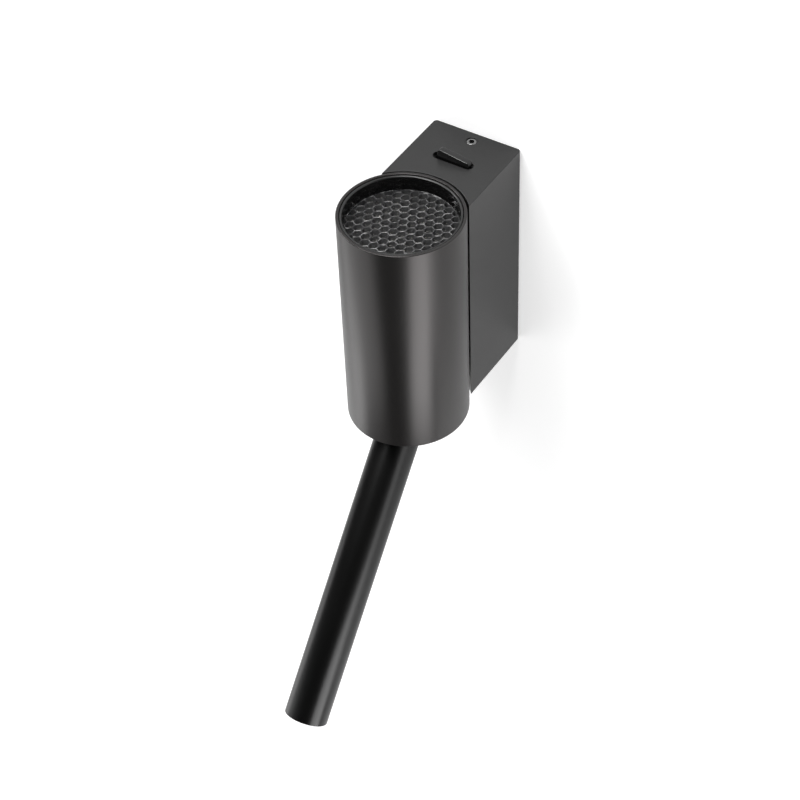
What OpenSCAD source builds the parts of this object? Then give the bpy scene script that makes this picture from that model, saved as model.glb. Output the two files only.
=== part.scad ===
// Wall light in two parts: a round can with an upward lamp behind a honeycomb louvre,
// and a slim reading tube that swivels and tilts under the can.
// The can stands off a flat box that hooks over a plate on the wall.
// The wall is the plane y = 0, the room lies towards -y, and z = 0 is the middle of the box.

/* [Wall box] */
// Width of the box
box_w = 47.2; // [44:0.2:56]
// Height of the box
box_h = 120; // [100:1:150]
// Depth of the box's side walls, from the wall to their front edges
box_d = 47.5; // [44:0.5:60]
// Thickness of the box's walls
box_wall = 2; // [1.6:0.1:2.6]
// Radius of the box's upright back edges
box_corner_r = 1.8; // [0.8:0.1:2.4]
// Width of the shadow gap between box and can
shadow_gap = 1.2; // [0.8:0.1:2.4]

/* [Can] */
// Outer diameter of the can
can_d = 60; // [56:1:72]
// Height by which the can stands past the box at each end
can_overhang = 0.5; // [0:0.1:3]
// Thickness of the can's wall
can_wall = 1.5; // [1.3:0.1:2.2]

/* [Louvre] */
// Depth of the louvre's top below the can's rim
louvre_recess = 8; // [4:0.5:12]
// Thickness of the louvre
louvre_t = 5; // [3:0.5:6]
// Distance from one cell of the louvre to the next in its row
cell_pitch = 4.4; // [4:0.1:7]
// Distance from one row of cells to the next
row_pitch = 4.04; // [3.5:0.02:6]
// Shift of each row against the last, as a share of the distance between cells
row_shift_share = 0.61; // [0.4:0.01:0.7]
// Thickness of the webs between cells
cell_web = 0.4; // [0.3:0.05:0.8]
// Angle by which the rows of cells are turned
louvre_turn = 5; // [0:0.1:60]

/* [Switch] */
// Length of the switch slot
slot_l = 21.3; // [20.2:0.1:25]
// Width of the switch slot
slot_w = 5.2; // [4.6:0.1:7]
// Distance of the slot's middle from the wall, as a share of the box's depth
slot_depth_share = 0.476; // [0.43:0.001:0.52]
// Length of the rocker
rocker_l = 17.4; // [14:0.1:18]
// Thickness of the rocker
rocker_t = 3.4; // [2.4:0.1:3.8]
// Height of the rocker's middle above the box
rocker_rise = 3.6; // [2:0.1:5]
// Angle by which the rocker tips each way
rocker_tip = 8.4; // [5:0.1:10]

/* [Reading tube] */
// Outer diameter of the reading tube, as a share of the can's
tube_share = 0.372; // [0.3:0.002:0.4]
// Length of the tube's axis below the can, at the tilt shown
tube_l = 171; // [120:1:260]
// Thickness of the tube's wall
tube_wall = 1.5; // [1:0.1:2]
// Tilt of the tube as shown, from straight down
tube_tilt = 38; // [20:1:45]
// Largest tilt of the tube from straight down
tilt_max = 50; // [46:1:52]

/* [Wall plate] */
// Thickness of the wall plate
plate_t = 2; // [1.5:0.1:3]
// Distance of each wall screw from the box's end
wall_screw_edge = 16; // [14:1:20]
// Diameter of the holes for the wall screws
wall_screw_d = 4.5; // [4:0.1:6]
// Diameter of the cable entry
cable_d = 10; // [7:0.5:12]

/* [Hidden] */

$fn = 96;

// Overrun of every cut past the face it opens
overrun = 1;
// Radial gap between pieces that are fastened together
fit_gap = 0.05;
// Radial gap of a pin in the piece that turns on it
pin_gap = 0.05;
// Gap between pieces that move past each other
run_gap = 0.3;
// Gap between pieces stacked face to face
seat_gap = 0.15;

// The can and the box
can_r = can_d / 2;
can_in_r = can_r - can_wall;
scoop_r = can_r + shadow_gap;
can_y = -(box_d + sqrt(pow(scoop_r, 2) - pow(box_w / 2, 2)));
box_top = box_h / 2;
can_top = box_top + can_overhang;
can_bottom = -can_top;
can_h = can_top - can_bottom;
box_roof = box_top - box_wall;
box_in_w = box_w - 2 * box_wall;
// Where the scooped front wall of the box lies on its middle line
scoop_back_y = can_y + scoop_r + box_wall;
slot_y = slot_depth_share * box_d;
wall_screw_pitch = box_h - 2 * wall_screw_edge;

// Wall plate
plate_side_gap = 0.5;
plate_end_gap = 0.4;
plate_w = box_in_w - 2 * plate_side_gap;
plate_h = box_h - 2 * box_wall - 2 * plate_end_gap;
plate_tab_w = 20;
plate_tab_lip = 3.5;
grommet_wall = 3;
grommet_lip_w = 1.5;
grommet_lip_t = 1.5;
grommet_r = cable_d / 2 + grommet_wall;

// Clamp screws that hold the box on the plate
clamp_r = 2.5;
clamp_l = 8;
clamp_sink = 0.2;
clamp_hole_gap = 0.2;
clamp_socket_r = 1.45;
clamp_socket_depth = 2.5;
clamp_nut_r = 4.33;
clamp_nut_t = 4;
clamp_y = plate_t + clamp_nut_r * cos(30) + seat_gap;

// Terminal block on the plate
terminal_w = 28;
terminal_h = 12;
terminal_d = 12;
terminal_height_share = 0.38;
terminal_z = terminal_height_share * box_roof;
terminal_ways = 3;
terminal_way_pitch = 9;
terminal_bore_r = 1.6;
terminal_bore_y = 5;
terminal_screw_r = 1.7;
terminal_screw_l = 3;
terminal_screw_hole_l = 4;
terminal_slot_w = 0.6;
fixing_r = 1.5;
fixing_head_r = 1.9;
fixing_head_t = 1.4;

// Earth screw on the plate
earth_edge = 8.1;
earth_x = plate_w / 2 - earth_edge;
earth_z = -16;
earth_r = 2;
earth_head_r = 3.9;
earth_head_t = 2.6;
earth_slot_w = 1;
earth_slot_depth = 1.3;
earth_tag_r = 4.3;
earth_tag_t = 0.8;
earth_tag_l = 12;
earth_tag_w = 3.4;

// Driver for the reading tube, on the box's left wall
driver_side_share = 0.35;
driver_front_gap = 5.7;
driver_end_gap = 6;
driver_lead_inset = 1.4;
driver_y = 7;
driver_top = -2;
driver_w = driver_side_share * box_in_w;
driver_depth = -scoop_back_y - driver_y - driver_front_gap;
driver_l = box_roof + driver_top - driver_end_gap;
driver_pad_t = 1;
driver_rib_h = 0.4;
driver_cap_l = 6;

// Switch under the box's roof
switch_wall_x = 1.5;
switch_side_w = 4;
switch_l = 13;
switch_pocket_l = 11;
switch_flange_t = 1.6;
switch_flange_w = 7;
switch_ear_gap = 1;
switch_boss_l = 5;
switch_boss_r = 2.7;
switch_screw_r = 1.1;
switch_screw_l = 6;
switch_head_r = 2;
switch_head_t = 1.4;
switch_socket_r = 0.8;
rocker_pivot_depth = 4.5;
rocker_corner_r = 1.8;
rocker_skirt = 1;
rocker_nose_r = 3;
rocker_pin_r = 1;
switch_pin_end = 1;
tab_w = 4.8;
tab_t = 0.8;
tab_l = 6;
tab_pitch = 7;
rocker_z = box_top - rocker_pivot_depth;
rocker_top = rocker_rise + rocker_pivot_depth;
pocket_half_x = slot_l / 2 - run_gap;
pocket_half_y = rocker_t / 2 + run_gap;
switch_half_x = pocket_half_x + switch_wall_x;
switch_half_y = pocket_half_y + switch_side_w;
switch_bottom = box_roof - switch_l;
switch_ear_x = box_in_w / 2 - switch_ear_gap;
switch_screw_x = (switch_half_x + box_in_w / 2) / 2;
rocker_nose = switch_pocket_l - (box_roof - rocker_z) - switch_head_t;

// Leads
lead_r = 1.1;
lead_gap = 0.1;
lead_bend = 2;
lead_steps = 3;
lead_sides = 8;
lead_side_shares = [0.6, 0.8, 0.2];

// Screws, spacers and bush that join can and box
join_r = 2;
join_hole_gap = 0.2;
join_head_r = 3.5;
join_head_t = 4;
join_socket_r = 1.73;
join_socket_depth = 2;
join_edge = 6;
spacer_r = 6;
bush_r = 4;
bush_bore_r = 2.6;
bush_head_r = 5.5;
bush_head_t = 1.2;

// Bracket inside the can
leg_t = 3;
leg_w = 16;
leg_r = can_in_r - fit_gap;
leg_in_r = leg_r - leg_t;
leg_top_gap = 1.5;
shelf_depth_share = 0.397;
shelf_z = shelf_depth_share * can_bottom;
shelf_t = 2;
shelf_r = 15;
shelf_hole_r = 4;
shelf_lead_hole_r = 2.4;
tongue_w = 4;

// Lamp holder and lamp
holder_r = 14;
holder_h = 14;
holder_socket_r = 2.8;
holder_socket_x = 5;
holder_socket_depth = 9;
holder_screw_y = 9.5;
holder_screw_r = 1.5;
holder_head_r = 2.7;
holder_head_t = 2;
lamp_side_gap = 0.5;
lamp_top_gap = 1.5;
lamp_r = leg_in_r - lamp_side_gap;
lamp_rim_h = 7;
lamp_neck_r = 17;
lamp_neck_h = 14;
lamp_base_r = 11;
lamp_base_h = 11;
lamp_lens_t = 2.5;
lamp_lens_rim = 1.5;
lamp_pin_r = 1.6;
lamp_pin_head_r = 2.5;
lamp_pin_l = 7;
lamp_pin_head_l = 2;
holder_bottom = shelf_z + shelf_t;
holder_top = holder_bottom + holder_h;

// Liner ring at the can's mouth, and the louvre that lies in it
liner_wall = 1.45;
liner_drop = 0.4;
liner_groove_w = 0.4;
liner_groove_depth = 3;
liner_ledge_w = 2.4;
liner_ledge_t = 2;
liner_r = can_in_r - fit_gap;
liner_in_r = liner_r - liner_wall;
liner_top = can_top - liner_drop;
louvre_top = can_top - louvre_recess;
louvre_bottom = louvre_top - louvre_t;
liner_bottom = louvre_bottom - liner_ledge_t;
leg_top = liner_bottom - leg_top_gap;
join_z = leg_top - join_edge;
louvre_side_gap = 0.15;
louvre_band = 0.6;
louvre_r = liner_in_r - louvre_side_gap;
first_cell_x = 0.65;
first_cell_y = -0.6;
lamp_top = liner_bottom - lamp_top_gap;
lamp_bottom = holder_top + seat_gap;

// Turntable in the can's bottom, and the rings that hold it
ledge_t = 2;
ledge_w = 3;
slide_t = 0.5;
turn_t = 8;
wave_t = 0.6;
stop_t = 1.2;
clip_t = 1.2;
clip_bite = 0.5;
clip_w = 2.5;
clip_gap_side = 1.5;
ring_w = 2.8;
stop_w = 6.4;
ledge_in_r = can_in_r - ledge_w;
turn_r = ledge_in_r - run_gap;
turn_flange_r = can_in_r - run_gap;
ring_r = can_in_r - seat_gap;
slide_z = can_bottom + ledge_t;
flange_z = slide_z + slide_t + seat_gap;
turn_top = can_bottom + turn_t;
wave_z = turn_top + seat_gap;
stop_z = wave_z + wave_t;
clip_z = stop_z + stop_t;
leg_bottom = clip_z + seat_gap;
clip_r = can_in_r + clip_bite;
clip_gap_w = leg_w + 2 * clip_gap_side;
stop_pin_r = 1.25;
stop_pin_depth = 4;
stop_pin_orbit = ring_r - ring_w - stop_pin_r - run_gap;

// Pivot of the reading tube
tube_d = tube_share * can_d;
tube_r = tube_d / 2;
tube_in_r = tube_r - tube_wall;
pivot_up = (flange_z + turn_top) / 2 - can_bottom;
pivot_back = pivot_up * tan(tube_tilt);
pivot_y = can_y + pivot_back;
pivot_z = can_bottom + pivot_up;
tube_end = tube_l + pivot_up / cos(tube_tilt);
slot_side_gap = 0.65;
cheek_x = tube_r + slot_side_gap;
tilt_slot_front = pivot_up * tan(tilt_max) + tube_r / cos(tilt_max) + slot_side_gap;
pivot_pin_r = 1.5;
pivot_pin_in = tube_r / 2;
knuckle_flat_in = 1.35;
knuckle_flat_r = 5.6;
knuckle_l = 9;
spigot_l = 15;
knuckle_bore_r = 3;
friction_washer_r = 5;
set_screw_r = 1.5;
set_screw_l = 5;
set_screw_socket_r = 0.87;
set_screw_socket_depth = 1.5;

// Light engine in the tube's end
lens_set_back = 2;
lens_ring_t = 1.4;
lens_ring_w = 1.6;
lens_t = 8.5;
lens_rim_t = 1;
lens_rim_w = 0.8;
lens_top_share = 0.47;
lens_top_r = lens_top_share * tube_in_r;
led_w = 4;
led_t = 1.2;
board_t = 1.6;
board_gap = 1.15;
board_r = tube_in_r - board_gap;
sink_l = 20;
sink_bore_r = 2;
sink_fin_pitch = 4;
sink_groove = 1.2;
tube_lead_r = 1.5;
lens_ring_s = tube_end - lens_set_back - lens_ring_t;
lens_s = lens_ring_s - lens_t;
led_s = lens_s - seat_gap - led_t;
board_s = led_s - board_t;

// A rod along the x axis
module rod_x(r, x0, x1) {
    translate([x0, 0, 0])
        rotate([0, 90, 0])
            cylinder(r = r, h = x1 - x0);
}

// A rod along the y axis
module rod_y(r, y0, y1) {
    translate([0, y0, 0])
        rotate([-90, 0, 0])
            cylinder(r = r, h = y1 - y0);
}

// A flat ring standing on z
module ring(z, t, r_out, r_in) {
    translate([0, 0, z])
        linear_extrude(t)
            difference() {
                circle(r = r_out);
                circle(r = r_in);
            }
}

// A block centred on x and y, from one height to another
module block(half_x, half_y, z0, z1) {
    translate([-half_x, -half_y, z0])
        cube([2 * half_x, 2 * half_y, z1 - z0]);
}

// A vector of length one
function unit(v) = v / norm(v);

// A route with each of its corners rounded by a short curve
function rounded_route(points) = [
    points[0],
    for (i = [1 : 1 : len(points) - 2])
        let (corner = points[i],
             before = corner + lead_bend * unit(points[i - 1] - corner),
             after = corner + lead_bend * unit(points[i + 1] - corner))
            for (j = [0 : lead_steps])
                let (s = j / lead_steps)
                    pow(1 - s, 2) * before + 2 * s * (1 - s) * corner + pow(s, 2) * after,
    points[len(points) - 1]
];

// The direction of a route at each of its points
function directions(route) = [
    for (i = [0 : len(route) - 1])
        unit(route[min(i + 1, len(route) - 1)] - route[max(i - 1, 0)])
];

// A side direction at each point, carried along the route without twist
function side_directions(ways) = [
    for (i = 0, side = unit(cross(ways[0], lead_side_shares));
         i < len(ways);
         i = i + 1, side = (i < len(ways)) ? unit(side - (side * ways[i]) * ways[i]) : side)
        side
];

// A round lead that runs through a list of points
module lead(points, r) {
    route = rounded_route(points);
    ways = directions(route);
    sides = side_directions(ways);
    rings = len(route);
    corners = [
        for (i = [0 : rings - 1])
            for (k = [0 : lead_sides - 1])
                let (angle = 360 * k / lead_sides)
                    route[i] + r * (cos(angle) * sides[i] + sin(angle) * cross(ways[i], sides[i]))
    ];
    faces = [
        [for (k = [0 : lead_sides - 1]) k],
        for (i = [0 : rings - 2])
            for (k = [0 : lead_sides - 1])
                let (a = i * lead_sides + k,
                     b = i * lead_sides + (k + 1) % lead_sides)
                    each [[a, a + lead_sides, b], [b, a + lead_sides, b + lead_sides]],
        [for (k = [lead_sides - 1 : -1 : 0]) (rings - 1) * lead_sides + k]
    ];
    polyhedron(points = corners, faces = faces);
}

// Everything on the can's axis
module on_can() {
    translate([0, can_y, 0])
        children();
}

// Everything on the tube's axis, with -z along the tube
module on_tube() {
    translate([0, pivot_y, pivot_z])
        rotate([-tube_tilt, 0, 0])
            children();
}

// Outline of the box, seen from above
module box_outline() {
    difference() {
        union() {
            translate([-box_w / 2, -(box_d + overrun)])
                square([box_w, box_d + overrun - box_corner_r]);
            translate([-box_w / 2 + box_corner_r, -2 * box_corner_r])
                square([box_w - 2 * box_corner_r, 2 * box_corner_r]);
            for (side = [-1, 1])
                translate([side * (box_w / 2 - box_corner_r), -box_corner_r])
                    circle(r = box_corner_r);
        }
        translate([0, can_y])
            circle(r = scoop_r);
    }
}

// Outline of the box's hollow, open towards the wall
module cavity_outline() {
    difference() {
        translate([-box_in_w / 2, -box_d])
            square([box_in_w, box_d + overrun]);
        translate([0, can_y])
            circle(r = scoop_r + box_wall);
    }
}

// The long hole in the box's roof for the rocker
module slot_outline() {
    end_x = (slot_l - slot_w) / 2;
    square([2 * end_x, slot_w], center = true);
    for (side = [-1, 1])
        translate([side * end_x, 0])
            circle(r = slot_w / 2);
}

// The holes along y for the two screws and the bush
module join_holes(screw_hole_r, bush_hole_r) {
    for (side = [-1, 1])
        translate([0, 0, side * join_z])
            rod_y(screw_hole_r, can_y, 0);
    rod_y(bush_hole_r, can_y, 0);
}

module wall_plate() {
    tab_d = clamp_y + clamp_r + plate_tab_lip;
    color("silver")
        difference() {
            union() {
                translate([-plate_w / 2, -plate_t, -plate_h / 2])
                    cube([plate_w, plate_t, plate_h]);
                for (z = [-plate_h / 2, plate_h / 2 - plate_t])
                    translate([-plate_tab_w / 2, -tab_d, z])
                        cube([plate_tab_w, tab_d - plate_t / 2, plate_t]);
            }
            for (side = [-1, 1])
                translate([0, 0, side * wall_screw_pitch / 2])
                    rod_y(wall_screw_d / 2, -plate_t - overrun, overrun);
            rod_y(grommet_r, -plate_t - overrun, overrun);
            translate([0, 0, terminal_z])
                rod_y(fixing_r + fit_gap, -plate_t - overrun, overrun);
            translate([earth_x, 0, earth_z])
                rod_y(earth_r + fit_gap, -plate_t - overrun, overrun);
            translate([0, -clamp_y, -box_h / 2])
                cylinder(r = clamp_r + fit_gap, h = box_h);
        }
}

module cable_grommet() {
    color("#222222")
        difference() {
            union() {
                rod_y(grommet_r - fit_gap, -plate_t - grommet_lip_t / 2, 0);
                rod_y(grommet_r + grommet_lip_w, -plate_t - grommet_lip_t, -plate_t);
            }
            rod_y(cable_d / 2, -plate_t - grommet_lip_t - overrun, overrun);
        }
}

// Places of the terminal block's ways
function way_x(i) = (i - (terminal_ways - 1) / 2) * terminal_way_pitch;

module terminal_block() {
    front_y = -plate_t - terminal_d;
    color("ivory")
        translate([0, 0, terminal_z])
            difference() {
                translate([-terminal_w / 2, front_y, -terminal_h / 2])
                    cube([terminal_w, terminal_d, terminal_h]);
                for (i = [0 : terminal_ways - 1]) {
                    if (way_x(i) != 0)
                        translate([way_x(i), -plate_t - terminal_bore_y, -terminal_h / 2 - overrun])
                            cylinder(r = terminal_bore_r, h = terminal_h + 2 * overrun);
                    if (way_x(i) != 0)
                        translate([way_x(i), 0, 0])
                            rod_y(terminal_screw_r + fit_gap, front_y - overrun,
                                  front_y + terminal_screw_hole_l);
                }
                rod_y(fixing_r + fit_gap, front_y - overrun, overrun);
                rod_y(fixing_head_r + fit_gap, front_y - overrun, front_y + fixing_head_t);
            }
}

module terminal_screws() {
    front_y = -plate_t - terminal_d;
    color("gold")
        translate([0, 0, terminal_z])
            for (i = [0 : terminal_ways - 1])
                if (way_x(i) != 0)
                    translate([way_x(i), 0, 0])
                        difference() {
                            rod_y(terminal_screw_r, front_y + terminal_screw_hole_l - terminal_screw_l,
                                  front_y + terminal_screw_hole_l);
                            translate([-terminal_slot_w / 2, front_y, -terminal_screw_r - overrun])
                                cube([terminal_slot_w,
                                      terminal_screw_hole_l - terminal_screw_l + terminal_slot_w,
                                      2 * (terminal_screw_r + overrun)]);
                        }
}

module terminal_fixing() {
    front_y = -plate_t - terminal_d;
    color("silver")
        translate([0, 0, terminal_z])
            difference() {
                union() {
                    rod_y(fixing_r, front_y + fixing_head_t / 2, 0);
                    rod_y(fixing_head_r, front_y, front_y + fixing_head_t);
                }
                translate([-terminal_slot_w / 2, front_y - overrun, -fixing_head_r - overrun])
                    cube([terminal_slot_w, overrun + terminal_slot_w, 2 * (fixing_head_r + overrun)]);
            }
}

module earth_screw() {
    head_y = -plate_t - earth_tag_t - earth_head_t;
    color("gold")
        translate([earth_x, 0, earth_z])
            difference() {
                union() {
                    rod_y(earth_r, head_y + earth_head_t / 2, 0);
                    rod_y(earth_head_r, head_y, head_y + earth_head_t);
                }
                translate([-earth_slot_w / 2, head_y - overrun, -earth_head_r - overrun])
                    cube([earth_slot_w, overrun + earth_slot_depth, 2 * (earth_head_r + overrun)]);
            }
}

module earth_tag() {
    color("gainsboro")
        translate([earth_x, -plate_t, earth_z])
            rotate([90, 0, 0])
                linear_extrude(earth_tag_t)
                    difference() {
                        union() {
                            circle(r = earth_tag_r);
                            translate([-earth_tag_w / 2, -earth_tag_l])
                                square([earth_tag_w, earth_tag_l]);
                        }
                        circle(r = earth_r + fit_gap);
                    }
}

module box_shell() {
    color("dimgray")
        difference() {
            union() {
                difference() {
                    translate([0, 0, -box_h / 2])
                        linear_extrude(box_h)
                            box_outline();
                    translate([0, 0, -box_h / 2 + box_wall])
                        linear_extrude(box_h - 2 * box_wall)
                            cavity_outline();
                }
                for (side = [-1, 1])
                    translate([side * switch_screw_x, -slot_y, box_roof - switch_boss_l])
                        cylinder(r = switch_boss_r, h = switch_boss_l + box_wall / 2);
            }
            translate([0, -slot_y, box_roof - overrun])
                linear_extrude(box_wall + 2 * overrun)
                    slot_outline();
            translate([0, -clamp_y, -box_h / 2 - overrun])
                cylinder(r = clamp_r + clamp_hole_gap, h = box_h + 2 * overrun);
            for (side = [-1, 1])
                translate([side * switch_screw_x, -slot_y, box_roof - switch_boss_l - overrun])
                    cylinder(r = switch_screw_r + fit_gap, h = switch_boss_l + overrun);
            join_holes(join_r + join_hole_gap, bush_r + fit_gap);
        }
}

module clamp_screws() {
    color("lightgray")
        for (side = [0, 1])
            mirror([0, 0, side])
                translate([0, -clamp_y, box_top - clamp_sink - clamp_l])
                    difference() {
                        cylinder(r = clamp_r, h = clamp_l);
                        translate([0, 0, clamp_l - clamp_socket_depth])
                            cylinder(r = clamp_socket_r, h = clamp_socket_depth + overrun, $fn = 6);
                    }
}

module clamp_nuts() {
    color("silver")
        for (side = [0, 1])
            mirror([0, 0, side])
                translate([0, -clamp_y, plate_h / 2 - plate_t - clamp_nut_t])
                    difference() {
                        cylinder(r = clamp_nut_r, h = clamp_nut_t, $fn = 6);
                        translate([0, 0, -overrun])
                            cylinder(r = clamp_r + fit_gap, h = clamp_nut_t + 2 * overrun);
                    }
}

module driver_case() {
    left_x = -box_in_w / 2 + driver_pad_t;
    color("#d9d9d4")
        union() {
            translate([left_x, -driver_y - driver_depth, driver_top - driver_l])
                cube([driver_w, driver_depth, driver_l]);
            translate([left_x, -driver_y - driver_depth - driver_rib_h, driver_top - driver_l])
                cube([driver_w, driver_depth + 2 * driver_rib_h, driver_cap_l]);
            translate([left_x, -driver_y - driver_depth - driver_rib_h, driver_top - driver_cap_l])
                cube([driver_w, driver_depth + 2 * driver_rib_h, driver_cap_l]);
        }
}

module driver_pad() {
    color("#303030")
        translate([-box_in_w / 2, -driver_y - driver_depth + driver_rib_h,
                   driver_top - driver_l + driver_cap_l])
            cube([driver_pad_t, driver_depth - 2 * driver_rib_h, driver_l - 2 * driver_cap_l]);
}

module switch_body() {
    flange_top = box_roof - switch_boss_l;
    color("#1c1c1c")
        translate([0, -slot_y, 0])
            difference() {
                union() {
                    block(switch_half_x, switch_half_y, switch_bottom, box_roof);
                    block(switch_ear_x, switch_flange_w / 2,
                          flange_top - switch_flange_t, flange_top);
                }
                block(pocket_half_x, pocket_half_y, box_roof - switch_pocket_l, box_roof + overrun);
                translate([0, 0, rocker_z])
                    rod_y(rocker_pin_r + fit_gap, -switch_half_y + switch_pin_end,
                          switch_half_y + overrun);
                for (side = [-1, 1])
                    translate([side * switch_screw_x, 0, flange_top - switch_flange_t - overrun])
                        cylinder(r = switch_screw_r + fit_gap, h = switch_flange_t + 2 * overrun);
            }
}

module switch_pin() {
    color("lightgray")
        translate([0, -slot_y, rocker_z])
            rod_y(rocker_pin_r, -switch_half_y + switch_pin_end, switch_half_y);
}

module switch_terminals() {
    color("gold")
        translate([0, -slot_y, 0])
            for (i = [-1, 0, 1])
                translate([i * tab_pitch, 0, 0])
                    block(tab_w / 2, tab_t / 2, switch_bottom - tab_l, switch_bottom);
}

module switch_screws() {
    under_z = box_roof - switch_boss_l - switch_flange_t;
    color("silver")
        for (side = [-1, 1])
            translate([side * switch_screw_x, -slot_y, 0])
                difference() {
                    union() {
                        translate([0, 0, under_z - switch_head_t / 2])
                            cylinder(r = switch_screw_r, h = switch_screw_l + switch_head_t / 2);
                        translate([0, 0, under_z - switch_head_t])
                            cylinder(r = switch_head_r, h = switch_head_t);
                    }
                    translate([0, 0, under_z - switch_head_t - overrun])
                        cylinder(r = switch_socket_r, h = overrun + switch_head_t / 2, $fn = 6);
                }
}

// Side view of the rocker, with its pivot at zero
module rocker_outline() {
    half = rocker_l / 2;
    difference() {
        union() {
            polygon([
                [-half, -rocker_skirt],
                [-rocker_nose_r, -rocker_nose],
                [rocker_nose_r, -rocker_nose],
                [half, -rocker_skirt],
                [half, rocker_top - rocker_corner_r],
                [-half, rocker_top - rocker_corner_r]
            ]);
            translate([-half + rocker_corner_r, 0])
                square([2 * (half - rocker_corner_r), rocker_top]);
            for (side = [-1, 1])
                translate([side * (half - rocker_corner_r), rocker_top - rocker_corner_r])
                    circle(r = rocker_corner_r);
        }
        circle(r = rocker_pin_r + pin_gap);
    }
}

module switch_rocker() {
    color("#141414")
        translate([0, -slot_y, rocker_z])
            rotate([0, rocker_tip, 0])
                translate([0, rocker_t / 2, 0])
                    rotate([90, 0, 0])
                        linear_extrude(rocker_t)
                            rocker_outline();
}

module switch_leads() {
    start_z = terminal_z + terminal_h / 2 + lead_gap;
    end_z = switch_bottom - tab_l - lead_gap;
    start_y = -plate_t - terminal_bore_y;
    bend = terminal_bore_y;
    color("saddlebrown")
        for (side = [-1, 1]) {
            top_x = (side < 0) ? -tab_pitch : 0;
            lead([
                [side * terminal_way_pitch, start_y, start_z - lead_gap - bend / 2],
                [side * terminal_way_pitch, start_y, start_z + lead_r],
                [top_x, -slot_y, end_z - 2 * lead_r],
                [top_x, -slot_y, end_z]
            ], lead_r);
        }
}

module driver_lead() {
    top_z = switch_bottom - tab_l - lead_gap;
    driver_x = -box_in_w / 2 + driver_pad_t + driver_w / 2;
    deep_y = driver_lead_inset - driver_y - driver_depth;
    low_z = driver_top + lead_gap;
    color("steelblue")
        lead([
            [tab_pitch, -slot_y, top_z],
            [tab_pitch, -slot_y, top_z - 2 * lead_r],
            [tab_pitch, deep_y, terminal_z],
            [driver_x, deep_y, low_z + driver_cap_l],
            [driver_x, deep_y, low_z]
        ], lead_r);
}

module lamp_lead() {
    start_y = -plate_t - terminal_bore_y;
    start_z = terminal_z - terminal_h / 2;
    drop_y = can_y + leg_in_r - lamp_side_gap - shelf_lead_hole_r;
    under_z = shelf_z - 3 * lead_r;
    color("firebrick")
        lead([
            [terminal_way_pitch, start_y, start_z + terminal_bore_y / 2],
            [terminal_way_pitch, start_y, start_z - 2 * lead_r],
            [0, -slot_y, 0],
            [0, drop_y, 0],
            [0, drop_y, under_z],
            [0, can_y, under_z],
            [0, can_y, holder_bottom - lead_gap]
        ], lead_r);
}

module can_tube() {
    color("#4a4a4c")
        on_can()
            difference() {
                translate([0, 0, can_bottom])
                    cylinder(r = can_r, h = can_h);
                translate([0, 0, slide_z])
                    cylinder(r = can_in_r, h = can_h);
                translate([0, 0, can_bottom - overrun])
                    cylinder(r = ledge_in_r, h = ledge_t + 2 * overrun);
                translate([0, 0, clip_z])
                    cylinder(r = clip_r + seat_gap, h = clip_t + seat_gap);
                translate([0, -can_y, 0])
                    join_holes(join_r + join_hole_gap, bush_r + fit_gap);
            }
}

module can_spacers() {
    color("#161616")
        for (side = [-1, 1])
            intersection() {
                translate([0, 0, side * join_z])
                    difference() {
                        rod_y(spacer_r, can_y, 0);
                        rod_y(join_r + join_hole_gap, can_y - overrun, overrun);
                    }
                on_can()
                    ring(side * join_z - spacer_r - overrun, 2 * (spacer_r + overrun),
                         scoop_r - fit_gap, can_r + fit_gap);
            }
}

module can_screws() {
    color("silver")
        for (side = [-1, 1])
            translate([0, 0, side * join_z])
                difference() {
                    union() {
                        rod_y(join_r, can_y + leg_in_r, scoop_back_y + join_head_t / 2);
                        rod_y(join_head_r, scoop_back_y, scoop_back_y + join_head_t);
                    }
                    translate([0, scoop_back_y + join_head_t - join_socket_depth, 0])
                        rotate([-90, 0, 0])
                            cylinder(r = join_socket_r, h = join_socket_depth + overrun, $fn = 6);
                }
}

module wire_bush() {
    color("#202020")
        difference() {
            union() {
                rod_y(bush_r, can_y + leg_in_r, scoop_back_y + bush_head_t / 2);
                rod_y(bush_head_r, scoop_back_y, scoop_back_y + bush_head_t);
            }
            rod_y(bush_bore_r, can_y, 0);
        }
}

module lamp_bracket() {
    drop = leg_in_r - lamp_side_gap - shelf_lead_hole_r;
    color("gainsboro")
        difference() {
            on_can()
                union() {
                    translate([0, 0, leg_bottom])
                        linear_extrude(leg_top - leg_bottom)
                            leg_outline(leg_w, leg_in_r);
                    translate([0, 0, stop_z])
                        linear_extrude(leg_bottom - stop_z + leg_t)
                            leg_outline(tongue_w, leg_in_r);
                    translate([0, 0, shelf_z])
                        linear_extrude(shelf_t)
                            difference() {
                                union() {
                                    circle(r = shelf_r);
                                    leg_outline(leg_w, 0);
                                }
                                circle(r = shelf_hole_r);
                                translate([0, drop])
                                    circle(r = shelf_lead_hole_r);
                            }
                }
            join_holes(join_r + fit_gap, bush_r + fit_gap);
            on_can()
                for (side = [-1, 1])
                    translate([0, side * holder_screw_y, shelf_z - overrun])
                        cylinder(r = holder_screw_r + fit_gap, h = shelf_t + 2 * overrun);
        }
}

// Outline of the bracket's leg, which fits the can's inner wall
module leg_outline(width, r_in) {
    intersection() {
        difference() {
            circle(r = leg_r);
            circle(r = r_in);
        }
        translate([-width / 2, 0])
            square([width, leg_r + overrun]);
    }
}

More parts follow.
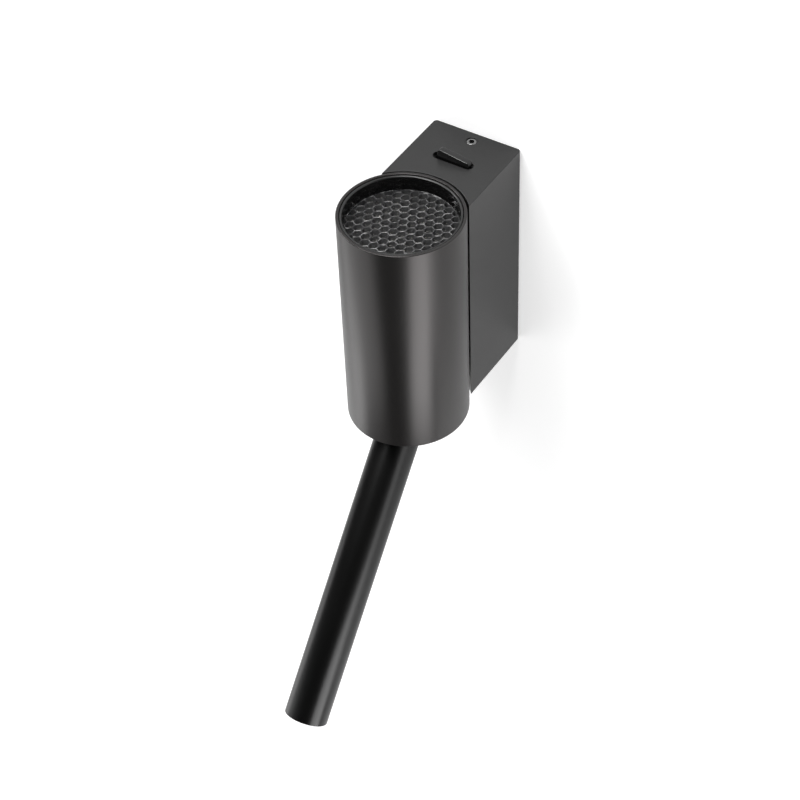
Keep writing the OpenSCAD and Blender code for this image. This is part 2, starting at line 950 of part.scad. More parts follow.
module lamp_holder() {
    color("ivory")
        on_can()
            difference() {
                translate([0, 0, holder_bottom])
                    cylinder(r = holder_r, h = holder_h);
                for (side = [-1, 1]) {
                    translate([side * holder_socket_x, 0, holder_top - holder_socket_depth])
                        cylinder(r = holder_socket_r, h = holder_socket_depth + overrun);
                    translate([0, side * holder_screw_y, holder_bottom - overrun])
                        cylinder(r = holder_screw_r + fit_gap, h = holder_h + 2 * overrun);
                    translate([0, side * holder_screw_y, holder_top - holder_head_t - seat_gap])
                        cylinder(r = holder_head_r + fit_gap, h = holder_head_t + overrun);
                }
            }
}

module holder_screws() {
    head_z = holder_top - holder_head_t - seat_gap;
    color("silver")
        on_can()
            for (side = [-1, 1])
                translate([0, side * holder_screw_y, 0])
                    difference() {
                        union() {
                            translate([0, 0, shelf_z])
                                cylinder(r = holder_screw_r, h = head_z - shelf_z + holder_head_t / 2);
                            translate([0, 0, head_z])
                                cylinder(r = holder_head_r, h = holder_head_t);
                        }
                        translate([0, 0, head_z + holder_head_t / 2])
                            cylinder(r = holder_screw_r, h = holder_head_t, $fn = 6);
                    }
}

module lamp_body() {
    lens_r = lamp_r - lamp_lens_rim + fit_gap;
    color("whitesmoke")
        on_can()
            rotate_extrude()
                polygon([
                    [0, lamp_bottom],
                    [lamp_base_r, lamp_bottom],
                    [lamp_base_r, lamp_bottom + lamp_base_h],
                    [lamp_neck_r, lamp_bottom + lamp_neck_h],
                    [lamp_r, lamp_top - lamp_rim_h],
                    [lamp_r, lamp_top],
                    [lens_r, lamp_top],
                    [lens_r, lamp_top - lamp_lens_t - fit_gap],
                    [0, lamp_top - lamp_lens_t - fit_gap]
                ]);
}

module lamp_lens() {
    color([0.95, 0.93, 0.85, 0.7])
        on_can()
            translate([0, 0, lamp_top - lamp_lens_t])
                cylinder(r = lamp_r - lamp_lens_rim, h = lamp_lens_t);
}

module lamp_pins() {
    color("silver")
        on_can()
            for (side = [-1, 1])
                translate([side * holder_socket_x, 0, lamp_bottom - lamp_pin_l])
                    union() {
                        cylinder(r = lamp_pin_r, h = lamp_pin_l);
                        cylinder(r = lamp_pin_head_r, h = lamp_pin_head_l);
                    }
}

module glare_ring() {
    lip_r = can_in_r - liner_groove_w;
    color("#101010")
        on_can()
            rotate_extrude()
                polygon([
                    [liner_in_r - liner_ledge_w, liner_bottom],
                    [liner_r, liner_bottom],
                    [liner_r, liner_top - liner_groove_depth],
                    [lip_r, liner_top - liner_groove_depth],
                    [lip_r, liner_top],
                    [liner_in_r, liner_top],
                    [liner_in_r, louvre_bottom],
                    [liner_in_r - liner_ledge_w, louvre_bottom]
                ]);
}

// The louvre's six-sided cells, in rows along x that are each shifted against the last
module cells_outline(r) {
    step = [cell_pitch, 0];
    rise = [row_shift_share * cell_pitch, row_pitch];
    corners = [step + rise, 2 * rise - step, rise - 2 * step,
               -step - rise, step - 2 * rise, 2 * step - rise];
    cell_scale = (1 - cell_web / cell_pitch) / 3;
    rows = ceil(r / row_pitch);
    columns = ceil(r / cell_pitch);
    for (row = [-rows : rows])
        for (column = [-columns - 1 : columns]) {
            shift = row * row_shift_share - floor(row * row_shift_share);
            middle = [first_cell_x + (column + shift) * cell_pitch, first_cell_y + row * row_pitch];
            if (norm(middle) < r + cell_pitch / 4)
                translate(middle)
                    polygon([for (corner = corners) cell_scale * corner]);
        }
}

module honeycomb_louvre() {
    core_r = louvre_r - louvre_band;
    color("#55565a")
        on_can()
            translate([0, 0, louvre_bottom])
                linear_extrude(louvre_t)
                    difference() {
                        circle(r = louvre_r);
                        intersection() {
                            circle(r = core_r);
                            rotate([0, 0, louvre_turn])
                                cells_outline(core_r);
                        }
                    }
}

module slide_ring() {
    color("white")
        on_can()
            ring(slide_z, slide_t, ring_r, ledge_in_r + seat_gap);
}

module wave_washer() {
    color("silver")
        on_can()
            ring(wave_z, wave_t, ring_r, ring_r - ring_w);
}

module stop_ring() {
    stop_face_y = stop_pin_r + run_gap;
    color("darkgray")
        on_can()
            translate([0, 0, stop_z])
                linear_extrude(stop_t)
                    difference() {
                        circle(r = ring_r);
                        circle(r = ring_r - stop_w);
                        intersection() {
                            circle(r = ring_r - ring_w);
                            translate([-can_r, stop_face_y - can_d])
                                square([can_d, can_d]);
                        }
                        translate([-tongue_w / 2 - seat_gap, leg_in_r - seat_gap])
                            square([tongue_w + 2 * seat_gap, leg_t + overrun]);
                    }
}

module circlip() {
    color("gray")
        on_can()
            translate([0, 0, clip_z])
                linear_extrude(clip_t)
                    difference() {
                        circle(r = clip_r);
                        circle(r = clip_r - clip_w);
                        translate([-clip_gap_w / 2, 0])
                            square([clip_gap_w, can_r]);
                    }
}

// Outline of the turntable's slot, seen from above, with the pivot at zero
module tilt_slot_outline() {
    circle(r = cheek_x);
    translate([-cheek_x, cheek_x - tilt_slot_front])
        square([2 * cheek_x, tilt_slot_front - cheek_x]);
    translate([0, cheek_x - tilt_slot_front])
        circle(r = cheek_x);
}

module turntable() {
    color("#3c3c3e")
        difference() {
            on_can()
                union() {
                    translate([0, 0, can_bottom])
                        cylinder(r = turn_r, h = turn_t);
                    translate([0, 0, flange_z])
                        cylinder(r = turn_flange_r, h = turn_top - flange_z);
                }
            translate([0, pivot_y, can_bottom - overrun])
                linear_extrude(turn_t + 2 * overrun)
                    tilt_slot_outline();
            translate([0, pivot_y, pivot_z]) {
                rod_x(pivot_pin_r + fit_gap, -can_r, can_r);
                rod_x(friction_washer_r + fit_gap, -cheek_x, cheek_x);
            }
            translate([0, can_y - stop_pin_orbit, turn_top - stop_pin_depth])
                cylinder(r = stop_pin_r + fit_gap, h = stop_pin_depth + overrun);
        }
}

module stop_pin() {
    color("silver")
        translate([0, can_y - stop_pin_orbit, turn_top - stop_pin_depth])
            cylinder(r = stop_pin_r, h = clip_z - turn_top + stop_pin_depth);
}

module pivot_pins() {
    out_x = sqrt(pow(turn_flange_r, 2) - pow(pivot_back, 2)) - run_gap;
    color("silver")
        translate([0, pivot_y, pivot_z])
            for (side = [0, 1])
                mirror([side, 0, 0])
                    rod_x(pivot_pin_r, pivot_pin_in, out_x);
}

module friction_washers() {
    color("white")
        translate([0, pivot_y, pivot_z])
            for (side = [0, 1])
                mirror([side, 0, 0])
                    difference() {
                        rod_x(friction_washer_r, tube_r - knuckle_flat_in + seat_gap, cheek_x - seat_gap);
                        rod_x(pivot_pin_r + fit_gap, 0, can_r);
                    }
}

module tube_knuckle() {
    color("#343436")
        on_tube()
            difference() {
                union() {
                    sphere(r = tube_r);
                    translate([0, 0, -knuckle_l])
                        cylinder(r = tube_r, h = knuckle_l);
                    translate([0, 0, -knuckle_l - spigot_l])
                        cylinder(r = tube_in_r - fit_gap, h = spigot_l + overrun);
                }
                translate([0, 0, -knuckle_l - spigot_l - overrun])
                    cylinder(r = knuckle_bore_r, h = knuckle_l + spigot_l + tube_d);
                for (side = [0, 1])
                    mirror([side, 0, 0]) {
                        rod_x(pivot_pin_r + pin_gap, pivot_pin_in - seat_gap, tube_d);
                        translate([tube_r - knuckle_flat_in, -tube_r, -knuckle_flat_r])
                            cube([tube_r, tube_d, tube_r + 2 * knuckle_flat_r]);
                    }
                translate([0, 0, -knuckle_l - spigot_l / 2])
                    rod_y(set_screw_r + fit_gap, tube_r - set_screw_l - seat_gap, tube_r);
            }
}

module tube_shell() {
    color("#2a2a2c")
        on_tube()
            difference() {
                translate([0, 0, -tube_end])
                    cylinder(r = tube_r, h = tube_end - knuckle_l);
                translate([0, 0, -tube_end - overrun])
                    cylinder(r = tube_in_r, h = tube_end - knuckle_l + 2 * overrun);
                translate([0, 0, -knuckle_l - spigot_l / 2])
                    rod_y(set_screw_r + fit_gap, 0, tube_d);
            }
}

module knuckle_screw() {
    color("lightgray")
        on_tube()
            translate([0, 0, -knuckle_l - spigot_l / 2])
                difference() {
                    rod_y(set_screw_r, tube_r - set_screw_l, tube_r - seat_gap);
                    translate([0, tube_r - set_screw_socket_depth, 0])
                        rotate([-90, 0, 0])
                            cylinder(r = set_screw_socket_r, h = set_screw_socket_depth + overrun, $fn = 6);
                }
}

module heat_sink() {
    grooves = floor(sink_l / sink_fin_pitch) - 1;
    color("silver")
        on_tube()
            difference() {
                translate([0, 0, -board_s])
                    cylinder(r = tube_in_r - fit_gap, h = sink_l);
                translate([0, 0, -board_s - overrun])
                    cylinder(r = sink_bore_r, h = sink_l + 2 * overrun);
                for (i = [1 : 1 : grooves])
                    translate([0, 0, -board_s + i * sink_fin_pitch])
                        ring(0, sink_groove, tube_r, tube_in_r - sink_groove);
            }
}

module led_board() {
    color("seagreen")
        on_tube()
            translate([0, 0, -led_s])
                cylinder(r = board_r, h = board_t);
}

module led_chip() {
    color("gold")
        on_tube()
            translate([-led_w / 2, -led_w / 2, -led_s - led_t])
                cube([led_w, led_w, led_t]);
}

module tube_lens() {
    rim_r = tube_in_r - fit_gap;
    color([0.9, 0.95, 1, 0.5])
        on_tube()
            rotate_extrude()
                polygon([
                    [0, -lens_s],
                    [lens_top_r, -lens_s],
                    [rim_r - lens_rim_w, -lens_ring_s + lens_rim_t],
                    [rim_r, -lens_ring_s + lens_rim_t],
                    [rim_r, -lens_ring_s],
                    [0, -lens_ring_s]
                ]);
}

module lens_ring() {
    color("#101010")
        on_tube()
            ring(-lens_ring_s - lens_ring_t, lens_ring_t, tube_in_r - fit_gap,
                 tube_in_r - fit_gap - lens_ring_w);
}

module tube_lead() {
    color("#181818")
        on_tube()
            translate([0, 0, -board_s + lead_gap])
                cylinder(r = tube_lead_r, h = board_s - lead_gap + tube_r + lead_r);
}

wall_plate();
cable_grommet();
terminal_block();
terminal_screws();
terminal_fixing();
earth_screw();
earth_tag();
box_shell();
clamp_screws();
clamp_nuts();
driver_case();
driver_pad();
switch_body();
switch_pin();
switch_terminals();
switch_screws();
switch_rocker();
switch_leads();
driver_lead();
lamp_lead();
can_tube();
can_spacers();
can_screws();
wire_bush();
lamp_bracket();
lamp_holder();
holder_screws();
lamp_body();
lamp_lens();
lamp_pins();
glare_ring();
honeycomb_louvre();
slide_ring();
wave_washer();
stop_ring();
circlip();
turntable();
stop_pin();
pivot_pins();
friction_washers();
tube_knuckle();
tube_shell();
knuckle_screw();
heat_sink();
led_board();
led_chip();
tube_lens();
lens_ring();
tube_lead();
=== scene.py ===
"""Looks of a wall light in two parts: a round can with a louvre, and a reading tube under it.

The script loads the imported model, builds the pieces that show in full detail around it,
gives every other piece its finish, and sets up a plain studio with the wall behind.
Sizes are in millimetres until a piece is finished, and then in metres.
"""

from __future__ import annotations

import logging
import math
from dataclasses import dataclass
from enum import Enum
from typing import Any, Callable, Iterable, Sequence

import bmesh
import bpy
from mathutils import Matrix, Vector, noise

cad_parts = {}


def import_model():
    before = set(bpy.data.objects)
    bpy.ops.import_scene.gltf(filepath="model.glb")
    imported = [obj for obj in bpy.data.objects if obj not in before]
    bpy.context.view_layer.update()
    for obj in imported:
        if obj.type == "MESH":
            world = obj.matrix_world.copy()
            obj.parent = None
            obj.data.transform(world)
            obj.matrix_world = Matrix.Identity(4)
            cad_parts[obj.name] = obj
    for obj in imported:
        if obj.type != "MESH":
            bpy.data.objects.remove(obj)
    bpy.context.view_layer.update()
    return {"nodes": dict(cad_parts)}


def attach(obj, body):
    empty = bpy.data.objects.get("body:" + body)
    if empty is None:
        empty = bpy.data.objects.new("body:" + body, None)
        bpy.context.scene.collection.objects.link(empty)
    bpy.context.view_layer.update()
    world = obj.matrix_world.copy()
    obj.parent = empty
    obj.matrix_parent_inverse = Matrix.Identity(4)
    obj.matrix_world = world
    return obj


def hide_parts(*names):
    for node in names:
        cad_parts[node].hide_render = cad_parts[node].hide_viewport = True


LOG = logging.getLogger("wall_light")
Triple = tuple[float, float, float]
Pair = tuple[float, float]
MM = 0.001
CAN_AXIS = Matrix.Translation((0.0, -67.908, 0.0))  # moves what is made about z = 0 into the can
CAN_HALF = 60.5  # half of the can's height
LOUVRE_LOW, LOUVRE_HIGH = 47.5, 52.5
TILT_DEG = 38.0  # the reading tube's tilt from straight down
NOWHERE = 1000.0  # a height that no piece reaches
PAST = 1.0  # how far a cutter goes past what it cuts
NEAR = 0.01  # within this, two places are the same
WELD = 1e-4  # corners closer than this are merged


class Cut(Enum):
    """How a form is combined with others."""

    AWAY = "DIFFERENCE"
    COMMON = "INTERSECT"


class Body(Enum):
    """The bodies that pieces ride on."""

    WALL = "wall_body"
    LEVER = "switch_lever"
    SWIVEL = "swivel"
    TUBE = "reading_tube"


class Axis(Enum):
    """How a pattern is turned, so that its z axis runs along the metal's fine lines."""

    UP = (0.0, 0.0, 0.0)
    TUBE = (math.radians(TILT_DEG), 0.0, 0.0)


@dataclass(eq=False)
class Signal:
    """The output socket of a node, which can be used in sums as if it were its value."""

    graph: "Graph"
    socket: bpy.types.NodeSocket

    def _sum(self, operation: str, left: Any, right: Any, clamp: bool = False) -> "Signal":
        """Adds one Math node.

        Args:
            operation: The node's operation.
            left: The first value or signal.
            right: The second value or signal.
            clamp: Whether the result is kept between 0 and 1.

        Returns:
            The node's result.
        """
        settings = {"operation": operation, "use_clamp": clamp}
        return self.graph.node("ShaderNodeMath", settings, {0: left, 1: right})

    def __add__(self, other: Any) -> "Signal":
        """Sum."""
        return self._sum("ADD", self, other)

    def __radd__(self, other: Any) -> "Signal":
        """Sum with the number first."""
        return self._sum("ADD", other, self)

    def __sub__(self, other: Any) -> "Signal":
        """Difference."""
        return self._sum("SUBTRACT", self, other)

    def __rsub__(self, other: Any) -> "Signal":
        """Difference with the number first."""
        return self._sum("SUBTRACT", other, self)

    def __mul__(self, other: Any) -> "Signal":
        """Product."""
        return self._sum("MULTIPLY", self, other)

    def __rmul__(self, other: Any) -> "Signal":
        """Product with the number first."""
        return self._sum("MULTIPLY", other, self)

    def held(self) -> "Signal":
        """The same value, kept between 0 and 1."""
        return self._sum("ADD", self, 0.0, clamp=True)


class Graph:
    """The node graph of one material."""

    def __init__(self, name: str) -> None:
        """Starts an empty graph.

        Args:
            name: The material's name.
        """
        self.material = bpy.data.materials.new(name)
        self.material.use_nodes = True
        self.tree = self.material.node_tree
        self.tree.nodes.clear()

    def node(self, kind: str, settings: dict[str, Any] | None = None,
             inputs: dict[Any, Any] | None = None, output: int | str | None = 0) -> Signal | None:
        """Adds a node.

        Args:
            kind: The node's type.
            settings: Its settings, which are set first.
            inputs: Values or signals for its sockets.
            output: The output that is wanted, if the node has one.

        Returns:
            That output.
        """
        made = self.tree.nodes.new(kind)
        for key, value in (settings or {}).items():
            setattr(made, key, value)
        for key, value in (inputs or {}).items():
            if isinstance(value, Signal):
                self.tree.links.new(value.socket, made.inputs[key])
            else:
                made.inputs[key].default_value = value
        return None if output is None else Signal(self, made.outputs[output])

    def place(self, stretch: Triple = (1.0, 1.0, 1.0), axis: Axis = Axis.UP) -> Signal:
        """The place on the object, in its own coordinates.

        Args:
            stretch: Scale along each direction.
            axis: The direction that counts as upright.

        Returns:
            The place as a vector.
        """
        place = self.node("ShaderNodeTexCoord", output="Object")
        turned = self.node("ShaderNodeMapping", {}, {"Vector": place, "Rotation": axis.value})
        return self.node("ShaderNodeMapping", {}, {"Vector": turned, "Scale": stretch})

    def noise(self, size_mm: float, place: Signal | None = None, detail: float = 2.0,
              rough: float = 0.5) -> Signal:
        """Soft noise from 0 to 1.

        Args:
            size_mm: Size of its largest spots.
            place: Where it is read.
            detail: Number of finer layers.
            rough: Strength of the finer layers.

        Returns:
            The noise.
        """
        inputs = {"Vector": place or self.place(), "Scale": 1.0 / (size_mm * MM),
                  "Detail": detail, "Roughness": rough}
        return self.node("ShaderNodeTexNoise", {}, inputs)

    def ramp(self, value: Signal, low: float, high: float) -> Signal:
        """A smooth step.

        Args:
            value: The value that is read.
            low: Where the step starts.
            high: Where it ends.

        Returns:
            A value from 0 to 1.
        """
        inputs = {"Value": value, "From Min": low, "From Max": high}
        return self.node("ShaderNodeMapRange", {"interpolation_type": "SMOOTHSTEP"}, inputs)

    def mix(self, share: Signal, first: Triple | Signal, second: Triple | Signal) -> Signal:
        """Blends two colours.

        Args:
            share: Share of the second colour.
            first: The first colour.
            second: The second colour.

        Returns:
            The blend.
        """
        ends = [end if isinstance(end, Signal) else (*end, 1.0) for end in (first, second)]
        return self.node("ShaderNodeMix", {"data_type": "RGBA"}, {0: share, 6: ends[0], 7: ends[1]}, 2)

    def bump(self, height: Signal, depth_mm: float) -> Signal:
        """Turns a height into a normal.

        Args:
            height: The height, from 0 to 1.
            depth_mm: What a height of 1 stands for.

        Returns:
            The normal.
        """
        return self.node("ShaderNodeBump", {}, {"Height": height, "Distance": depth_mm * MM})

    def near_top(self, top_mm: float, fade_mm: Pair) -> Signal:
        """A smooth step that is 1 at the top of a piece and 0 below.

        Args:
            top_mm: Height of the top.
            fade_mm: How far below it the step starts and ends.

        Returns:
            A value from 0 to 1.
        """
        place = self.node("ShaderNodeTexCoord", output="Object")
        height = self.node("ShaderNodeSeparateXYZ", {}, {"Vector": place}, "Z")
        return self.ramp(height, (top_mm - fade_mm[0]) * MM, (top_mm - fade_mm[1]) * MM)

    def output(self, shader: Signal) -> bpy.types.Material:
        """Joins a shader to the material's output.

        Args:
            shader: The finished shader.

        Returns:
            The material.
        """
        self.node("ShaderNodeOutputMaterial", {}, {"Surface": shader}, None)
        return self.material


def shade(colour: Triple, share: float) -> Triple:
    """A colour made lighter or darker.

    Args:
        colour: The colour.
        share: What each channel is multiplied by.

    Returns:
        The new colour.
    """
    return tuple(min(1.0, c * share) for c in colour)


@dataclass(frozen=True)
class Finish:
    """A surface finish. Its material is made once.

    The colour varies between two shares of itself, given as tones. The roughness starts
    lower by its bias, and the details of each finish add to it.
    """

    label: str
    slot: str
    colour: Triple
    roughness: float = 0.5
    metallic: float = 0.0
    tones: Pair = (0.9, 1.1)
    bias: float = 0.0

    def varied(self, graph: Graph, share: Signal) -> Signal:
        """The colour between its darkest and its lightest tone.

        Args:
            graph: The material's graph.
            share: 0 for the darkest tone and 1 for the lightest.

        Returns:
            The colour.
        """
        return graph.mix(share, shade(self.colour, self.tones[0]), shade(self.colour, self.tones[1]))

    def look(self, graph: Graph) -> dict[str, Any]:
        """What the finish feeds into the shader.

        Args:
            graph: The material's graph.

        Returns:
            Values and signals by socket name.
        """
        return {"Base Color": (*self.colour, 1.0), "Roughness": self.roughness}

    def material(self) -> bpy.types.Material:
        """The finish's material.

        Returns:
            The material.
        """
        name = self.label + "_finish"
        known = bpy.data.materials.get(name)
        if known:
            return known
        graph = Graph(name)
        inputs = {"Metallic": self.metallic, **self.look(graph)}
        return graph.output(graph.node("ShaderNodeBsdfPrincipled", {}, inputs))


@dataclass(frozen=True)
class PowderCoat(Finish):
    """Fine satin powder coat with a slight orange peel."""

    tones: Pair = (0.88, 1.12)
    bias: float = 0.03
    peel_mm: float = 0.9
    grain_mm: float = 0.16
    cloud_mm: float = 28.0
    peel_share: float = 0.6
    depth_mm: float = 0.004
    specular: float = 0.5

    def look(self, graph: Graph) -> dict[str, Any]:
        """A fine grain over a soft peel, with faint cloudy changes of gloss.

        Args:
            graph: The material's graph.

        Returns:
            The shader's inputs.
        """
        peel = graph.noise(self.peel_mm, detail=1.0)
        grain = graph.noise(self.grain_mm, detail=2.0)
        cloud = graph.noise(self.cloud_mm, detail=2.0)
        relief = peel * self.peel_share + grain * (1.0 - self.peel_share)
        return {"Base Color": self.varied(graph, cloud * 0.5 + grain * 0.5),
                "Roughness": self.roughness - self.bias + cloud * 0.04 + grain * 0.03,
                "Specular IOR Level": self.specular,
                "Normal": graph.bump(relief, self.depth_mm)}


@dataclass(frozen=True)
class Anodised(Finish):
    """Satin anodised aluminium, with the faint lines of a drawn tube."""

    bias: float = 0.035
    axis: Axis = Axis.UP
    line_mm: float = 0.5
    line_stretch: Triple = (1.0, 1.0, 0.012)
    grain_mm: float = 0.14
    cloud_mm: float = 34.0
    depth_mm: float = 0.003
    specular: float = 0.5
    sheen: Triple = (1.0, 1.0, 1.0)
    rim_mm: float = NOWHERE
    rim_fade: Pair = (0.35, 0.15)
    rim_tone: float = 0.2

    def look(self, graph: Graph) -> dict[str, Any]:
        """A blasted grain, faint lines along the tube, a little cloud, and a rim whose colour is darker and
        roughness lower towards the top edge.

        Args:
            graph: The material's graph.

        Returns:
            The shader's inputs.
        """
        lines = graph.noise(self.line_mm, graph.place(self.line_stretch, self.axis), detail=2.0)
        grain = graph.noise(self.grain_mm, detail=2.0, rough=0.6)
        cloud = graph.noise(self.cloud_mm, detail=2.0)
        rim = graph.near_top(self.rim_mm, self.rim_fade)
        colour = self.varied(graph, grain * 0.5 + cloud * 0.5)
        rough = self.roughness - self.bias + cloud * 0.03 + grain * 0.02 + lines * 0.02 - rim * 0.13
        return {"Base Color": graph.mix(rim, colour, shade(self.colour, self.rim_tone)),
                "Roughness": rough,
                "Specular IOR Level": self.specular,
                "Specular Tint": (*self.sheen, 1.0),
                "Normal": graph.bump(grain * 0.7 + lines * 0.3, self.depth_mm)}


@dataclass(frozen=True)
class Lacquer(Finish):
    """Glossy black lacquer with a slightly wavy surface."""

    tones: Pair = (1.0, 2.2)
    wave_mm: float = 2.4
    dust_mm: float = 0.25
    dust_step: Pair = (0.68, 0.78)
    wipe_mm: float = 3.0
    wipe_stretch: Triple = (1.0, 1.0, 0.2)
    depth_mm: float = 0.004
    lip_mm: float = NOWHERE
    lip_fade: Pair = (1.0, 0.6)

    def look(self, graph: Graph) -> dict[str, Any]:
        """A slow wave, fine light dust, faint wipe marks and a duller lip.

        Args:
            graph: The material's graph.

        Returns:
            The shader's inputs.
        """
        wave = graph.noise(self.wave_mm, detail=1.0)
        dust = graph.ramp(graph.noise(self.dust_mm, detail=1.0), *self.dust_step)
        wipe = graph.noise(self.wipe_mm, graph.place(self.wipe_stretch), detail=2.0)
        lip = graph.near_top(self.lip_mm, self.lip_fade)
        return {"Base Color": self.varied(graph, dust),
                "Roughness": self.roughness + wipe * 0.05 + dust * 0.12 + lip * 0.16,
                "Normal": graph.bump(wave, self.depth_mm)}


@dataclass(frozen=True)
class Foil(Finish):
    """Thin anodised aluminium foil, a little crinkled."""

    tones: Pair = (0.8, 1.2)
    bias: float = 0.06
    crinkle_mm: float = 1.1
    patch_mm: float = 5.0
    depth_mm: float = 0.02
    cut_mm: float = LOUVRE_HIGH
    cut_fade: Pair = (0.12, 0.05)
    # random patches of the cut edges that are bare metal, made bright so that they also serve as painted
    # glints
    bare_glint_mm: float = 2.6
    bare_glint_step: Pair = (0.42, 0.66)
    bare: Triple = (0.9, 0.9, 0.9)

    def look(self, graph: Graph) -> dict[str, Any]:
        """Crinkles, uneven gloss and cut edges that are bare metal here and there, where the bright patches
        are also painted glints.

        Args:
            graph: The material's graph.

        Returns:
            The shader's inputs.
        """
        crinkle = graph.noise(self.crinkle_mm, detail=2.0)
        patch = graph.noise(self.patch_mm, detail=1.0)
        cut = graph.near_top(self.cut_mm, self.cut_fade)
        bare_glint = graph.ramp(graph.noise(self.bare_glint_mm, detail=1.0), *self.bare_glint_step)
        # the cut edges turn bare and bright in random patches: partly bare metal, partly painted glints like
        # those bent foil would catch
        return {"Base Color": graph.mix(cut * bare_glint, self.varied(graph, patch), self.bare),
                "Roughness": self.roughness - self.bias + crinkle * 0.12 - cut * 0.16,
                "Normal": graph.bump(crinkle, self.depth_mm)}


@dataclass(frozen=True)
class Machined(Finish):
    """Turned or drawn bare metal with fine tool lines."""

    tones: Pair = (0.88, 1.06)
    bias: float = 0.06
    axis: Axis = Axis.UP
    line_mm: float = 0.12
    line_stretch: Triple = (0.05, 0.05, 1.0)
    stain_mm: float = 4.0
    depth_mm: float = 0.003

    def look(self, graph: Graph) -> dict[str, Any]:
        """Fine lines round the axis and faint stains.

        Args:
            graph: The material's graph.

        Returns:
            The shader's inputs.
        """
        lines = graph.noise(self.line_mm, graph.place(self.line_stretch, self.axis), detail=2.0)
        stain = graph.noise(self.stain_mm, detail=3.0)
        return {"Base Color": self.varied(graph, stain),
                "Roughness": self.roughness - self.bias + lines * 0.08 + stain * 0.05,
                "Normal": graph.bump(lines, self.depth_mm)}


@dataclass(frozen=True)
class PlatedSheet(Finish):
    """Zinc plated sheet steel with a rolled grain and cloudy passivation."""

    tones: Pair = (0.85, 1.08)
    bias: float = 0.05
    rolled_mm: float = 0.3
    rolled_stretch: Triple = (1.0, 1.0, 0.03)
    cloud_mm: float = 9.0
    spot_mm: float = 1.3
    spot_step: Pair = (0.62, 0.72)
    depth_mm: float = 0.004

    def look(self, graph: Graph) -> dict[str, Any]:
        """Rolled lines, soft cloudy patches and small spots.

        Args:
            graph: The material's graph.

        Returns:
            The shader's inputs.
        """
        rolled = graph.noise(self.rolled_mm, graph.place(self.rolled_stretch), detail=2.0)
        cloud = graph.noise(self.cloud_mm, detail=3.0)
        spots = graph.ramp(graph.noise(self.spot_mm, detail=2.0), *self.spot_step)
        return {"Base Color": self.varied(graph, cloud * 0.8 + spots * 0.2),
                "Roughness": self.roughness - self.bias + rolled * 0.06 + cloud * 0.08,
                "Normal": graph.bump(rolled, self.depth_mm)}


@dataclass(frozen=True)
class Moulded(Finish):
    """Moulded plastic or ceramic with a fine spark-eroded grain."""

    tones: Pair = (0.94, 1.05)
    bias: float = 0.03
    grain_mm: float = 0.3
    flow_mm: float = 12.0
    depth_mm: float = 0.008

    def look(self, graph: Graph) -> dict[str, Any]:
        """A fine grain and slow changes of colour.

        Args:
            graph: The material's graph.

        Returns:
            The shader's inputs.
        """
        grain = graph.noise(self.grain_mm, detail=2.0)
        flow = graph.noise(self.flow_mm, detail=1.0)
        return {"Base Color": self.varied(graph, flow),
                "Roughness": self.roughness - self.bias + grain * 0.06,
                "Normal": graph.bump(grain, self.depth_mm)}


@dataclass(frozen=True)
class Glass(Finish):
    """Clear or frosted glass."""

    frost_mm: float = 0.6
    depth_mm: float = 0.004
    clearness: float = 0.9
    ior: float = 1.49

    def look(self, graph: Graph) -> dict[str, Any]:
        """Clear body with a slightly uneven face.

        Args:
            graph: The material's graph.

        Returns:
            The shader's inputs.
        """
        frost = graph.noise(self.frost_mm, detail=1.0)
        return {"Base Color": (*self.colour, 1.0),
                "Roughness": self.roughness + frost * 0.04,
                "Transmission Weight": self.clearness,
                "IOR": self.ior,
                "Normal": graph.bump(frost, self.depth_mm)}


